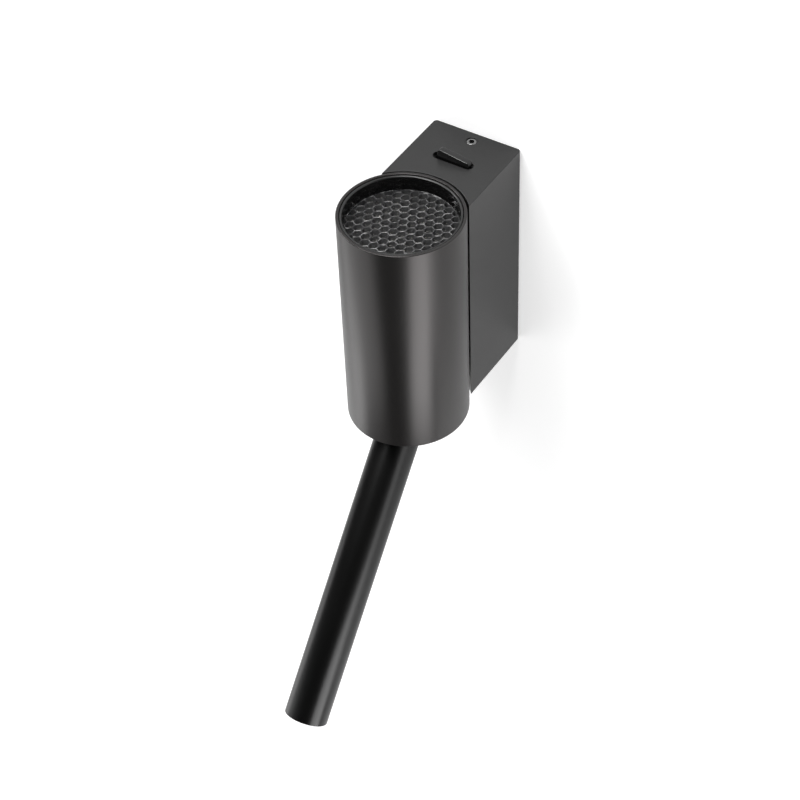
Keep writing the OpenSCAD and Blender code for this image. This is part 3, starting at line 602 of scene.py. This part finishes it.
@dataclass(frozen=True)
class Finishes:
    """All finishes of the light."""

    box: Finish = PowderCoat("box_satin_black", "black_paint", (0.008, 0.008, 0.008), 0.32, specular=0.42)
    can: Finish = Anodised("can_satin_black", "can_finish", (0.009, 0.0086, 0.0084), 0.33, specular=0.464,
                           sheen=(1.0, 0.95, 0.945), rim_mm=CAN_HALF)
    tube: Finish = Anodised("tube_satin_black", "tube_finish", (0.002, 0.002, 0.002), 0.31, axis=Axis.TUBE,
                            specular=0.356)
    liner: Finish = Lacquer("liner_gloss_black", "liner_black", (0.003, 0.003, 0.003), 0.1, lip_mm=60.1)
    ring: Finish = Lacquer("lens_ring_black", "liner_black", (0.012, 0.012, 0.012), 0.3)
    foil: Finish = Foil("louvre_foil", "louvre_foil", (0.18, 0.18, 0.183), 0.34, 0.78)
    rocker: Finish = Moulded("rocker_black", "switch_plastic", (0.003, 0.003, 0.003), 0.26, grain_mm=0.2,
                             depth_mm=0.002)
    black: Finish = Moulded("plastic_black", "black_plastic", (0.022, 0.022, 0.022), 0.45)
    ivory: Finish = Moulded("plastic_ivory", "ivory_plastic", (0.66, 0.63, 0.54), 0.42)
    slide: Finish = Moulded("slide_white", "white_slide", (0.72, 0.71, 0.68), 0.38, depth_mm=0.003)
    ceramic: Finish = Moulded("ceramic", "lamp_ceramic", (0.74, 0.72, 0.66), 0.7, grain_mm=0.5,
                              depth_mm=0.02)
    lamp: Finish = Moulded("lamp_white", "lamp_white", (0.74, 0.74, 0.72), 0.25, depth_mm=0.002)
    board: Finish = Moulded("board_green", "board_green", (0.02, 0.16, 0.06), 0.3, grain_mm=0.15,
                            depth_mm=0.003)
    diode: Finish = Moulded("diode_yellow", "led_yellow", (0.78, 0.62, 0.12), 0.28, depth_mm=0.002)
    rubber: Finish = Moulded("rubber_black", "black_rubber", (0.018, 0.018, 0.018), 0.68, grain_mm=0.4,
                             depth_mm=0.015)
    brown: Finish = Moulded("lead_brown", "brown_lead", (0.13, 0.045, 0.015), 0.4, depth_mm=0.003)
    blue: Finish = Moulded("lead_blue", "blue_lead", (0.02, 0.09, 0.36), 0.4, depth_mm=0.003)
    lead: Finish = Moulded("lead_black", "black_lead", (0.015, 0.015, 0.015), 0.42, depth_mm=0.003)
    sheet: Finish = PlatedSheet("zinc_sheet", "plate_steel", (0.56, 0.56, 0.54), 0.38, 0.9)
    steel: Finish = Machined("screw_steel", "screw_steel", (0.6, 0.6, 0.59), 0.26, 1.0)
    grub: Finish = Machined("grub_steel", "screw_steel", (0.26, 0.26, 0.26), 0.16, 1.0)
    brass: Finish = Machined("contact_brass", "contact_brass", (0.66, 0.46, 0.18), 0.28, 1.0)
    bare: Finish = Machined("turned_aluminium", "bare_aluminium", (0.68, 0.68, 0.69), 0.3, 1.0,
                            axis=Axis.TUBE)
    glass: Finish = Glass("lens_clear", "lamp_glass", (0.95, 0.96, 0.96), 0.06)
    frosted: Finish = Glass("lens_frosted", "lamp_glass", (0.93, 0.92, 0.88), 0.3, frost_mm=1.2,
                            depth_mm=0.02)


def linked(name: str, data: bpy.types.ID) -> bpy.types.Object:
    """Puts a mesh, lamp or camera into the scene as an object.

    Args:
        name: The object's name.
        data: What it holds.

    Returns:
        The object.
    """
    made = bpy.data.objects.new(name, data)
    bpy.context.scene.collection.objects.link(made)
    return made


def upright(edge: bmesh.types.BMEdge) -> bool:
    """Whether an edge runs up and down."""
    return abs(edge.verts[0].co.z - edge.verts[1].co.z) > 1.0


def foot(edge: bmesh.types.BMEdge) -> float:
    """Height of an edge's lower end."""
    return min(vert.co.z for vert in edge.verts)


class Form:
    """A mesh in the making, in millimetres."""

    FLAT_DEG = 0.2  # faces that meet at less than this are merged

    def __init__(self) -> None:
        """Starts empty."""
        self.mesh = bmesh.new()

    @classmethod
    def lathe(cls, outline: Sequence[Pair], steps: int) -> "Form":
        """Turns a closed outline about the z axis.

        Args:
            outline: Radius and height of each corner.
            steps: Number of steps round.

        Returns:
            The turned form.
        """
        form = cls()
        corners = [form.mesh.verts.new((r, 0.0, z)) for r, z in outline]
        edges = [form.mesh.edges.new((a, b)) for a, b in zip(corners, corners[1:] + corners[:1])]
        bmesh.ops.spin(form.mesh, geom=corners + edges, cent=(0, 0, 0), axis=(0, 0, 1),
                       dvec=(0, 0, 0), angle=math.tau, steps=steps, use_merge=True, use_duplicate=False)
        return form.tidy()

    @classmethod
    def disc_prism(cls, radius: float, low: float, high: float, steps: int,
                   stretch_x: float = 0.0) -> "Form":
        """A round or long-round prism.

        Args:
            radius: Radius of its ends.
            low: Height of its bottom.
            high: Height of its top.
            steps: Number of steps round.
            stretch_x: Distance by which each half is moved out along x.

        Returns:
            The prism.
        """
        form = cls()
        bmesh.ops.create_circle(form.mesh, cap_ends=True, segments=steps, radius=radius)
        if stretch_x:
            turn = Matrix.Rotation(math.pi / steps, 3, "Z")
            bmesh.ops.rotate(form.mesh, cent=(0, 0, 0), matrix=turn, verts=form.mesh.verts[:])
            for side in (-1, 1):
                half = [v for v in form.mesh.verts if v.co.x * side > 0]
                bmesh.ops.translate(form.mesh, vec=(side * stretch_x, 0, 0), verts=half)
        return form.raised(low, high)

    @classmethod
    def block(cls, low: Triple, high: Triple) -> "Form":
        """A block between two corners.

        Args:
            low: The lowest corner.
            high: The highest corner.

        Returns:
            The block.
        """
        form = cls()
        size = [h - l for l, h in zip(low, high)]
        middle = [(h + l) / 2 for l, h in zip(low, high)]
        bmesh.ops.create_cube(form.mesh, size=1.0)
        bmesh.ops.scale(form.mesh, vec=size, verts=form.mesh.verts[:])
        bmesh.ops.translate(form.mesh, vec=middle, verts=form.mesh.verts[:])
        return form

    @classmethod
    def slab(cls, outline: Sequence[Pair], low: float, high: float) -> "Form":
        """A flat outline given a thickness.

        Args:
            outline: The corners, anticlockwise seen from above.
            low: Height of its bottom.
            high: Height of its top.

        Returns:
            The slab.
        """
        form = cls()
        form.mesh.faces.new([form.mesh.verts.new((x, y, 0.0)) for x, y in outline])
        return form.raised(low, high)

    def raised(self, low: float, high: float) -> "Form":
        """Gives a flat form at height 0 its thickness.

        Args:
            low: Height of its bottom.
            high: Height of its top.

        Returns:
            The form.
        """
        bmesh.ops.translate(self.mesh, vec=(0, 0, low), verts=self.mesh.verts[:])
        made = bmesh.ops.extrude_face_region(self.mesh, geom=self.mesh.faces[:])
        top = [v for v in made["geom"] if isinstance(v, bmesh.types.BMVert)]
        bmesh.ops.translate(self.mesh, vec=(0, 0, high - low), verts=top)
        return self.tidy()

    def tidy(self) -> "Form":
        """Closes seams and points the faces outwards.

        Returns:
            The form.
        """
        bmesh.ops.remove_doubles(self.mesh, verts=self.mesh.verts[:], dist=WELD)
        bmesh.ops.recalc_face_normals(self.mesh, faces=self.mesh.faces[:])
        return self

    def soften(self, width: float, chosen: Callable[[bmesh.types.BMEdge], bool] | None = None,
               steps: int = 3, angle: float = 30.0) -> "Form":
        """Rounds edges.

        Args:
            width: Width of the rounding.
            chosen: Says of an edge whether it is rounded.
            steps: Number of steps across.
            angle: Only edges sharper than this many degrees are rounded.

        Returns:
            The form.
        """
        limit = math.radians(angle)
        edges = [e for e in self.mesh.edges
                 if len(e.link_faces) == 2 and e.calc_face_angle(0.0) > limit
                 and (chosen is None or chosen(e))]
        bmesh.ops.bevel(self.mesh, geom=edges, offset=width, offset_type="OFFSET", segments=steps,
                        profile=0.5, affect="EDGES", material=-1, clamp_overlap=True)
        return self

    def moved(self, matrix: Matrix) -> "Form":
        """Moves or turns the form.

        Args:
            matrix: The move, in millimetres.

        Returns:
            The form.
        """
        bmesh.ops.transform(self.mesh, matrix=matrix, verts=self.mesh.verts[:])
        if matrix.determinant() < 0:
            bmesh.ops.recalc_face_normals(self.mesh, faces=self.mesh.faces[:])
        return self

    def joined(self, other: "Form") -> "Form":
        """Adds another form's mesh to this one.

        Args:
            other: The form that is added.

        Returns:
            This form.
        """
        scratch = bpy.data.meshes.new("scratch")
        other.mesh.to_mesh(scratch)
        self.mesh.from_mesh(scratch)
        bpy.data.meshes.remove(scratch)
        return self

    def cut(self, how: Cut, *others: "Form") -> "Form":
        """Cuts other forms away from this one, or keeps what it has in common with them.

        Args:
            how: Which of the two.
            others: The other forms.

        Returns:
            The form.
        """
        loose = []
        for form in (self, *others):
            data = bpy.data.meshes.new("loose")
            form.mesh.to_mesh(data)
            loose.append(linked("loose", data))
        carried = loose[0]
        for cutter in loose[1:]:
            boolean = carried.modifiers.new("cut", "BOOLEAN")
            boolean.operation = how.value
            boolean.solver = "EXACT"
            boolean.object = cutter
        graph = bpy.context.evaluated_depsgraph_get()
        result = bpy.data.meshes.new_from_object(carried.evaluated_get(graph))
        self.mesh.clear()
        self.mesh.from_mesh(result)
        for made in loose:
            data = made.data
            bpy.data.objects.remove(made)
            bpy.data.meshes.remove(data)
        bpy.data.meshes.remove(result)
        bmesh.ops.remove_doubles(self.mesh, verts=self.mesh.verts[:], dist=WELD)
        if how is Cut.COMMON:
            return self  # crinkled faces would merge in another way each run
        bmesh.ops.dissolve_limit(self.mesh, angle_limit=math.radians(self.FLAT_DEG),
                                 use_dissolve_boundaries=False,
                                 verts=self.mesh.verts[:], edges=self.mesh.edges[:])
        return self

    def piece(self, name: str, finish: Finish, body: Body, *stands_for: str,
              edge: float = 0.0) -> None:
        """Makes the finished piece, in metres.

        Args:
            name: The piece's name.
            finish: Its finish.
            body: The body that it rides on.
            stands_for: The nodes that it stands for.
            edge: Width of the rounding of all sharp edges.
        """
        bmesh.ops.scale(self.mesh, vec=(MM, MM, MM), verts=self.mesh.verts[:])
        data = bpy.data.meshes.new(name)
        self.mesh.to_mesh(data)
        self.mesh.free()
        dress(data, name, finish, body, stands_for, edge)


SHARP_DEG = 32.0  # an edge past this shades as sharp
ROUNDED_DEG = 40.0  # an edge past this is rounded by the Bevel modifier


def dress(data: bpy.types.Mesh, name: str, finish: Finish, body: Body, stands_for: Sequence[str],
          edge: float) -> None:
    """Puts a finished mesh on its body with its finish.

    Args:
        data: The mesh, in metres.
        name: The piece's name.
        finish: Its finish.
        body: The body that it rides on.
        stands_for: The nodes that it stands for.
        edge: Width of the rounding of all sharp edges, in millimetres.
    """
    data.shade_smooth()
    data.set_sharp_from_angle(angle=math.radians(SHARP_DEG))
    data.materials.clear()
    data.materials.append(finish.material())
    made = linked(name, data)
    if edge:
        bevel = made.modifiers.new("edges", "BEVEL")
        bevel.width = edge * MM
        bevel.segments = 2
        bevel.limit_method = "ANGLE"
        bevel.angle_limit = math.radians(ROUNDED_DEG)
        bevel.harden_normals = True
    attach(made, body.value)
    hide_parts(*stands_for)
    LOG.info("made %s: %d faces, %s", name, len(data.polygons), finish.label)


@dataclass
class WallBox:
    """The box on the wall, with its clamp screws."""

    finishes: Finishes
    width: float = 47.2
    height: float = 120.0
    depth: float = 47.5
    wall: float = 2.0
    corner: float = 1.8
    scoop: float = 31.2
    slot_length: float = 21.3
    slot_width: float = 5.2
    slot_y: float = -22.61
    clamp_y: float = -5.9
    clamp_hole: float = 2.7
    clamp_radius: float = 2.5
    clamp_length: float = 8.0
    clamp_sink: float = 0.2
    clamp_chamfer: float = 0.45
    clamp_edge: float = 0.06
    socket_radius: float = 1.45
    socket_depth: float = 2.5
    edge: float = 0.35
    scoop_steps: int = 256
    hole_steps: int = 48

    def shell(self) -> None:
        """The five-sided shell with its scooped front."""
        half, top = self.width / 2, self.height / 2
        outer = Form.block((-half, -self.depth - PAST, -top), (half, 0, top))
        outer.soften(self.corner, lambda e: upright(e) and e.verts[0].co.y > -NEAR, steps=8)
        scoop = Form.disc_prism(self.scoop, -top - PAST, top + PAST, self.scoop_steps).moved(CAN_AXIS)
        inner = Form.block((-half + self.wall, -self.depth, -top + self.wall),
                           (half - self.wall, PAST, top - self.wall))
        back = Form.disc_prism(self.scoop + self.wall, -top, top, self.scoop_steps).moved(CAN_AXIS)
        inner.cut(Cut.AWAY, back)
        slot = Form.disc_prism(self.slot_width / 2, top - 2 * self.wall, top + PAST, self.hole_steps,
                               (self.slot_length - self.slot_width) / 2)
        slot.moved(Matrix.Translation((0, self.slot_y, 0)))
        holes = Form.disc_prism(self.clamp_hole, -top - PAST, top + PAST, self.hole_steps)
        holes.moved(Matrix.Translation((0, self.clamp_y, 0)))
        outer.cut(Cut.AWAY, scoop, inner, slot, holes)
        outer.piece("box_shell_visual", self.finishes.box, Body.WALL, "box_shell", edge=self.edge)

    def clamp_screws(self) -> None:
        """The two grub screws with their six-sided sockets."""
        top = self.height / 2 - self.clamp_sink
        both = Form()
        for side in (1, -1):
            screw = Form.disc_prism(self.clamp_radius, top - self.clamp_length, top, self.hole_steps)
            screw.soften(self.clamp_chamfer, lambda e: foot(e) > top - NEAR, steps=2)
            socket = Form.disc_prism(self.socket_radius, top - self.socket_depth, top + PAST, 6)
            screw.cut(Cut.AWAY, socket).moved(Matrix.Translation((0, self.clamp_y, 0)))
            both.joined(screw.moved(Matrix.Diagonal((1, 1, side, 1))))
        both.piece("clamp_screws_visual", self.finishes.grub, Body.WALL, "clamp_screws", edge=self.clamp_edge)

    def build(self) -> None:
        """Builds all of the box's pieces."""
        self.shell()
        self.clamp_screws()


@dataclass
class Switch:
    """The rocker in the box's top."""

    finishes: Finishes
    length: float = 17.4
    thickness: float = 3.4
    pivot: Triple = (0.0, -22.61, 55.5)
    rise: float = 8.1
    skirt: float = 1.0
    nose: float = 3.0
    nose_drop: float = 7.1
    corner: float = 1.8
    tip: float = 8.4
    edge: float = 0.35

    def build(self) -> None:
        """Builds the rocker, tipped as it stands."""
        half = self.length / 2
        outline = [(-half, -self.skirt), (-self.nose, -self.nose_drop), (self.nose, -self.nose_drop),
                   (half, -self.skirt), (half, self.rise), (-half, self.rise)]
        form = Form.slab(outline, -self.thickness / 2, self.thickness / 2)
        form.soften(self.corner, lambda e: upright(e) and e.verts[0].co.y > self.rise - NEAR, steps=8)
        form.soften(self.edge, lambda e: not upright(e), angle=60)
        place = (Matrix.Translation(self.pivot) @ Matrix.Rotation(math.radians(self.tip), 4, "Y")
                 @ Matrix.Rotation(math.pi / 2, 4, "X"))
        form.moved(place).piece("rocker_visual", self.finishes.rocker, Body.LEVER, "switch_rocker")


@dataclass
class Can:
    """The round can with its liner."""

    finishes: Finishes
    radius: float = 30.0
    wall: float = 1.5
    rim_edge: float = 0.3
    ledge_radius: float = 25.5
    ledge: float = 2.0
    liner_radius: float = 28.45
    liner_bottom: float = 45.5
    liner_inner: float = 27.0
    liner_ledge: float = 24.6
    liner_drop: float = 0.4
    liner_chamfer: float = 0.45
    liner_edge: float = 0.12
    lip_radius: float = 28.1
    lip_height: float = 3.0
    steps: int = 224

    def tube(self) -> None:
        """The can's tube with its rounded rim and the ledge at its bottom."""
        inner, ledge = self.radius - self.wall, self.ledge - CAN_HALF
        form = Form.lathe([(self.radius, -CAN_HALF), (self.radius, CAN_HALF), (inner, CAN_HALF),
                           (inner, ledge), (self.ledge_radius, ledge),
                           (self.ledge_radius, -CAN_HALF)], self.steps)
        form.soften(self.rim_edge)
        form.moved(CAN_AXIS).piece("can_tube_visual", self.finishes.can, Body.WALL, "can_tube")

    def liner(self) -> None:
        """The glossy liner ring with its sloped lip."""
        top = CAN_HALF - self.liner_drop
        lip = top - self.lip_height
        form = Form.lathe([(self.liner_ledge, self.liner_bottom), (self.liner_radius, self.liner_bottom),
                           (self.liner_radius, lip), (self.lip_radius, lip), (self.lip_radius, top),
                           (self.liner_inner, top), (self.liner_inner, LOUVRE_LOW),
                           (self.liner_ledge, LOUVRE_LOW)], self.steps)
        mouth = self.liner_inner + NEAR
        form.soften(self.liner_chamfer, lambda e: foot(e) > top - NEAR
                    and all(vert.co.xy.length < mouth for vert in e.verts), steps=1)
        form.soften(self.liner_edge, steps=2)
        form.moved(CAN_AXIS).piece("liner_visual", self.finishes.liner, Body.WALL, "glare_ring")

    def build(self) -> None:
        """Builds the can's pieces."""
        self.tube()
        self.liner()


@dataclass
class Louvre:
    """The honeycomb louvre of thin foil."""

    finishes: Finishes
    radius: float = 26.85
    pitch: float = 4.4
    row_pitch: float = 4.04
    row_shift: float = 0.61
    turn: float = 5.0
    first: Pair = (0.65, -0.6)
    foil: float = 0.07
    bonded: float = 0.16
    band: float = 0.12
    fold: float = 0.03
    crinkle: float = 0.1
    crinkle_rate: float = 0.37
    overlap: float = 0.05
    steps: int = 128
    seed: int = 1

    def _cells(self) -> Iterable[Vector]:
        """The middles of all cells that touch the louvre's round.

        Yields:
            Each middle.
        """
        rows = math.ceil(self.radius / self.row_pitch) + 1
        columns = math.ceil(self.radius / self.pitch) + 1
        for row in range(-rows, rows + 1):
            shift = row * self.row_shift % 1.0
            for column in range(-columns - 1, columns + 2):
                middle = Vector((self.first[0] + (column + shift) * self.pitch,
                                 self.first[1] + row * self.row_pitch, 0.0))
                if middle.length < self.radius + self.pitch:
                    yield middle

    def _crinkled(self, place: Vector) -> Vector:
        """Moves a corner of the foil a little, as crinkled foil lies.

        Args:
            place: The corner.

        Returns:
            Where it lies.
        """
        return place + self.crinkle * noise.noise_vector(place * self.crinkle_rate).xy.to_3d()

    def _openings(self, corners: list[Vector]) -> list[Vector]:
        """The corners of a cell's opening. Two of its six webs are bonded ones, of double foil.

        Args:
            corners: The corners of a cell between the middles of its webs.

        Returns:
            The same corners inside the foil.
        """
        sides = [(corner - corners[k - 1]).normalized() for k, corner in enumerate(corners)]
        halves = [(self.bonded if k % 3 == 2 else self.foil) / 2 for k in range(6)]
        openings = []
        for k, corner in enumerate(corners):
            after = (k + 1) % 6
            inward = sides[after] * halves[k] - sides[k] * halves[after]
            openings.append(corner + inward / sides[k].cross(sides[after]).z)
        return openings

    def comb(self) -> Form:
        """The foil webs between the cells.

        Returns:
            The webs.
        """
        noise.seed_set(self.seed)
        step = Vector((self.pitch, 0.0, 0.0))
        rise = Vector((self.row_shift * self.pitch, self.row_pitch, 0.0))
        corners = [c / 3 for c in (step + rise, 2 * rise - step, rise - 2 * step,
                                   -step - rise, step - 2 * rise, 2 * step - rise)]
        openings = self._openings(corners)
        form = Form()
        for middle in self._cells():
            outer = [form.mesh.verts.new(self._crinkled(middle + c)) for c in corners]
            inner = [form.mesh.verts.new(self._crinkled(middle + c)) for c in openings]
            for k in range(6):
                form.mesh.faces.new((outer[k - 1], outer[k], inner[k], inner[k - 1]))
        form.tidy()
        if form.mesh.faces[:][0].normal.z < 0:
            bmesh.ops.reverse_faces(form.mesh, faces=form.mesh.faces[:])
        return form.raised(LOUVRE_LOW, LOUVRE_HIGH)

    def build(self) -> None:
        """Builds the louvre."""
        core = self.radius - self.band
        comb = self.comb().moved(Matrix.Rotation(math.radians(self.turn), 4, "Z"))
        comb.cut(Cut.COMMON, Form.disc_prism(core + self.overlap, LOUVRE_LOW - PAST,
                                             LOUVRE_HIGH + PAST, self.steps))
        comb.soften(self.fold, lambda e: foot(e) > LOUVRE_HIGH - NEAR, steps=2, angle=60)
        band = Form.lathe([(core, LOUVRE_LOW), (self.radius, LOUVRE_LOW), (self.radius, LOUVRE_HIGH),
                           (core, LOUVRE_HIGH)], self.steps)
        comb.joined(band).moved(CAN_AXIS)
        comb.piece("louvre_visual", self.finishes.foil, Body.WALL, "honeycomb_louvre")


@dataclass
class ReadingTube:
    """The slim reading tube."""

    finishes: Finishes
    radius: float = 11.16
    wall: float = 1.5
    start: float = 9.0
    end: float = 177.758
    pivot: Triple = (0.0, -63.748, -55.175)
    edge: float = 0.3
    steps: int = 128

    def build(self) -> None:
        """Builds the tube with softened ends. It hangs from its pivot along its own -z axis."""
        inner = self.radius - self.wall
        form = Form.lathe([(self.radius, -self.end), (self.radius, -self.start), (inner, -self.start),
                           (inner, -self.end)], self.steps)
        form.soften(self.edge)
        place = Matrix.Translation(self.pivot) @ Matrix.Rotation(math.radians(-TILT_DEG), 4, "X")
        form.moved(place).piece("tube_shell_visual", self.finishes.tube, Body.TUBE, "tube_shell")


@dataclass(frozen=True)
class Batch:
    """Kept solids that share a finish, a body and the width of their broken edges."""

    finish: Finish
    body: Body
    edge: float
    names: tuple[str, ...]


@dataclass
class Fittings:
    """The pieces whose solid is kept, with broken edges where they are stiff."""

    nodes: dict[str, bpy.types.Object]
    finishes: Finishes
    weld: float = 2e-6
    flat_deg: float = 0.3

    def _softened(self, name: str, batch: Batch) -> None:
        """Copies a node's solid and breaks its edges.

        Args:
            name: The node.
            batch: How it is finished.
        """
        mesh = bmesh.new()
        mesh.from_mesh(self.nodes[name].data)
        bmesh.ops.remove_doubles(mesh, verts=mesh.verts[:], dist=self.weld)
        bmesh.ops.dissolve_limit(mesh, angle_limit=math.radians(self.flat_deg),
                                 use_dissolve_boundaries=False, verts=mesh.verts[:], edges=mesh.edges[:])
        data = bpy.data.meshes.new(name + "_visual")
        mesh.to_mesh(data)
        mesh.free()
        dress(data, name + "_visual", batch.finish, batch.body, (name,), batch.edge)

    def _painted(self, name: str, finish: Finish) -> None:
        """Gives a node its finish and leaves its solid alone.

        Args:
            name: The node.
            finish: Its finish.
        """
        data = self.nodes[name].data
        data.materials.clear()
        data.materials.append(finish.material())
        LOG.info("dressed %s: %s", name, finish.label)

    def dress(self) -> None:
        """Finishes every kept piece."""
        f = self.finishes
        wall, swivel, tube = Body.WALL, Body.SWIVEL, Body.TUBE
        batches = (
            Batch(f.sheet, wall, 0.15, ("wall_plate", "earth_tag", "lamp_bracket", "stop_ring")),
            Batch(f.rubber, wall, 0.3, ("cable_grommet", "driver_pad")),
            Batch(f.ivory, wall, 0.3, ("terminal_block", "driver_case")),
            Batch(f.brass, wall, 0.1, ("terminal_screws", "earth_screw", "switch_terminals")),
            Batch(f.steel, wall, 0.1, ("terminal_fixing", "clamp_nuts", "switch_pin", "switch_screws",
                                       "can_screws", "holder_screws", "lamp_pins", "wave_washer",
                                       "circlip")),
            Batch(f.steel, swivel, 0.15, ("stop_pin", "pivot_pins")),
            Batch(f.steel, tube, 0.1, ("knuckle_screw",)),
            Batch(f.black, wall, 0.25, ("switch_body", "can_spacers", "wire_bush")),
            Batch(f.ceramic, wall, 0.3, ("lamp_holder",)),
            Batch(f.lamp, wall, 0.2, ("lamp_body",)),
            Batch(f.frosted, wall, 0.15, ("lamp_lens",)),
            Batch(f.slide, wall, 0.1, ("slide_ring",)),
            Batch(f.slide, swivel, 0.08, ("friction_washers",)),
            Batch(f.can, swivel, 0.3, ("turntable",)),
            Batch(f.tube, tube, 0.3, ("tube_knuckle",)),
            Batch(f.bare, tube, 0.2, ("heat_sink",)),
            Batch(f.board, tube, 0.05, ("led_board",)),
            Batch(f.diode, tube, 0.1, ("led_chip",)),
            Batch(f.glass, tube, 0.15, ("tube_lens",)),
            Batch(f.ring, tube, 0.2, ("lens_ring",)),
        )
        for batch in batches:
            for name in batch.names:
                self._softened(name, batch)
        for finish, names in ((f.brown, ("switch_leads", "lamp_lead")), (f.blue, ("driver_lead",)),
                              (f.lead, ("tube_lead",))):
            for name in names:
                self._painted(name, finish)


@dataclass(frozen=True)
class Softbox:
    """A soft lamp that faces the light.

    Its side is the angle round from straight ahead, its rise the angle up, both in degrees.
    Sizes are in metres, the power in watts.
    """

    name: str
    side: float
    rise: float
    width: float
    height: float
    power: float
    distance: float = 1.6

    def light(self, target: Vector) -> None:
        """Sets the lamp up.

        Args:
            target: The point that it faces, in metres.
        """
        data = bpy.data.lights.new(self.name, "AREA")
        data.shape = "RECTANGLE"
        data.size = self.width
        data.size_y = self.height
        data.energy = self.power
        made = linked(self.name, data)
        side, rise = math.radians(self.side), math.radians(self.rise)
        away = Vector((math.sin(side) * math.cos(rise), -math.cos(side) * math.cos(rise), math.sin(rise)))
        made.location = target + away * self.distance
        made.rotation_mode = "QUATERNION"
        made.rotation_quaternion = (-away).to_track_quat("-Z", "Y")


@dataclass
class Studio:
    """The wall behind, the soft lamps and the camera."""

    wall_y: float = 0.0004
    wall_half: float = 1.2
    paint: float = 0.9
    wall_lift: float = 0.3
    mirror_lift: float = 0.08
    world: float = 1.0
    target: Triple = (0.0, -0.06, -0.05)
    lamps: tuple[Softbox, ...] = (
        Softbox("lamp_above", 0.0, 78.0, 0.6, 0.6, 23.3),
        Softbox("lamp_left", -86.0, 42.0, 0.3, 0.5, 9.0),
        Softbox("lamp_key", -40.0, 55.0, 1.0, 0.6, 20.6),
        Softbox("lamp_right", 78.0, -10.0, 0.6, 1.8, 8.4),
        Softbox("lamp_right_low", 58.0, -32.0, 0.75, 1.5, 19.0),
        Softbox("lamp_left_low", -75.0, -32.0, 0.6, 1.3, 5.0),
        Softbox("lamp_front_low", -38.0, -32.0, 1.2, 1.2, 7.2),
    )
    eye: Triple = (0.41342, -0.68737, 0.68012)
    right: Triple = (0.844974, 0.533917, -0.030841)
    up: Triple = (-0.357751, 0.607158, 0.709488)
    back: Triple = (0.397533, -0.588466, 0.704042)
    lens: float = 95.94
    sensor: float = 36.0
    clip: Pair = (0.05, 50.0)

    def camera(self) -> None:
        """The camera at the photograph's place."""
        data = bpy.data.cameras.new("camera")
        data.sensor_fit = "HORIZONTAL"
        data.sensor_width = self.sensor
        data.lens = self.lens
        data.clip_start, data.clip_end = self.clip
        made = linked("camera", data)
        turn = Matrix((self.right, self.up, self.back)).transposed()
        made.matrix_world = Matrix.Translation(self.eye) @ turn.to_4x4()
        bpy.context.scene.camera = made

    def backdrop(self) -> None:
        """The wall that the light hangs on."""
        sheet = bmesh.new()
        bmesh.ops.create_grid(sheet, x_segments=2, y_segments=2, size=self.wall_half)
        bmesh.ops.rotate(sheet, cent=(0, 0, 0), matrix=Matrix.Rotation(math.pi / 2, 3, "X"),
                         verts=sheet.verts[:])
        bmesh.ops.translate(sheet, vec=(0, self.wall_y, 0), verts=sheet.verts[:])
        if sheet.faces[:][0].normal.y > 0:
            bmesh.ops.reverse_faces(sheet, faces=sheet.faces[:])
        data = bpy.data.meshes.new("backdrop")
        sheet.to_mesh(data)
        sheet.free()
        data.materials.append(self._paint())
        piece = linked("backdrop", data)

    def _paint(self) -> bpy.types.Material:
        """White paint, which is only there from the room's side.

        Returns:
            Its material.
        """
        graph = Graph("white_wall")
        behind = graph.node("ShaderNodeNewGeometry", output="Backfacing")
        camera = graph.node("ShaderNodeLightPath", output="Is Camera Ray")
        glossy = graph.node("ShaderNodeLightPath", output="Is Glossy Ray")
        through = graph.node("ShaderNodeLightPath", output="Is Transmission Ray")
        lift = (camera + through).held() * self.wall_lift + glossy * self.mirror_lift
        glow = graph.node("ShaderNodeCombineColor", {}, {0: lift, 1: lift, 2: lift})
        wall = graph.node("ShaderNodeBsdfPrincipled", {}, {
            "Base Color": (self.paint, self.paint, self.paint, 1.0), "Roughness": 1.0,
            "Specular IOR Level": 0.0, "Emission Color": glow, "Emission Strength": 1.0})
        gone = graph.node("ShaderNodeBsdfTransparent")
        both = graph.node("ShaderNodeMixShader", {}, {0: behind, 1: wall, 2: gone})
        graph.material.cycles.emission_sampling = "NONE"
        return graph.output(both)

    def surroundings(self) -> None:
        """A white world that only the camera sees, past the wall's edge and from behind."""
        world = bpy.data.worlds.new("world")
        bpy.context.scene.world = world
        world.use_nodes = True
        nodes, links = world.node_tree.nodes, world.node_tree.links
        ground = nodes["Background"]
        ground.inputs["Color"].default_value = (self.world, self.world, self.world, 1.0)
        links.new(nodes.new("ShaderNodeLightPath").outputs["Is Camera Ray"], ground.inputs["Strength"])

    def build(self) -> None:
        """Sets up the whole studio."""
        self.camera()
        self.backdrop()
        self.surroundings()
        for lamp in self.lamps:
            lamp.light(Vector(self.target))
        bpy.context.scene.view_settings.view_transform = "Standard"


def main() -> None:
    """Builds the whole light and its studio."""
    logging.basicConfig(level=logging.INFO, format="%(message)s")
    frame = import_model()
    finishes = Finishes()
    WallBox(finishes).build()
    Switch(finishes).build()
    Can(finishes).build()
    Louvre(finishes).build()
    ReadingTube(finishes).build()
    Fittings(frame["nodes"], finishes).dress()
    Studio().build()


if __name__ == "__main__":
    main()
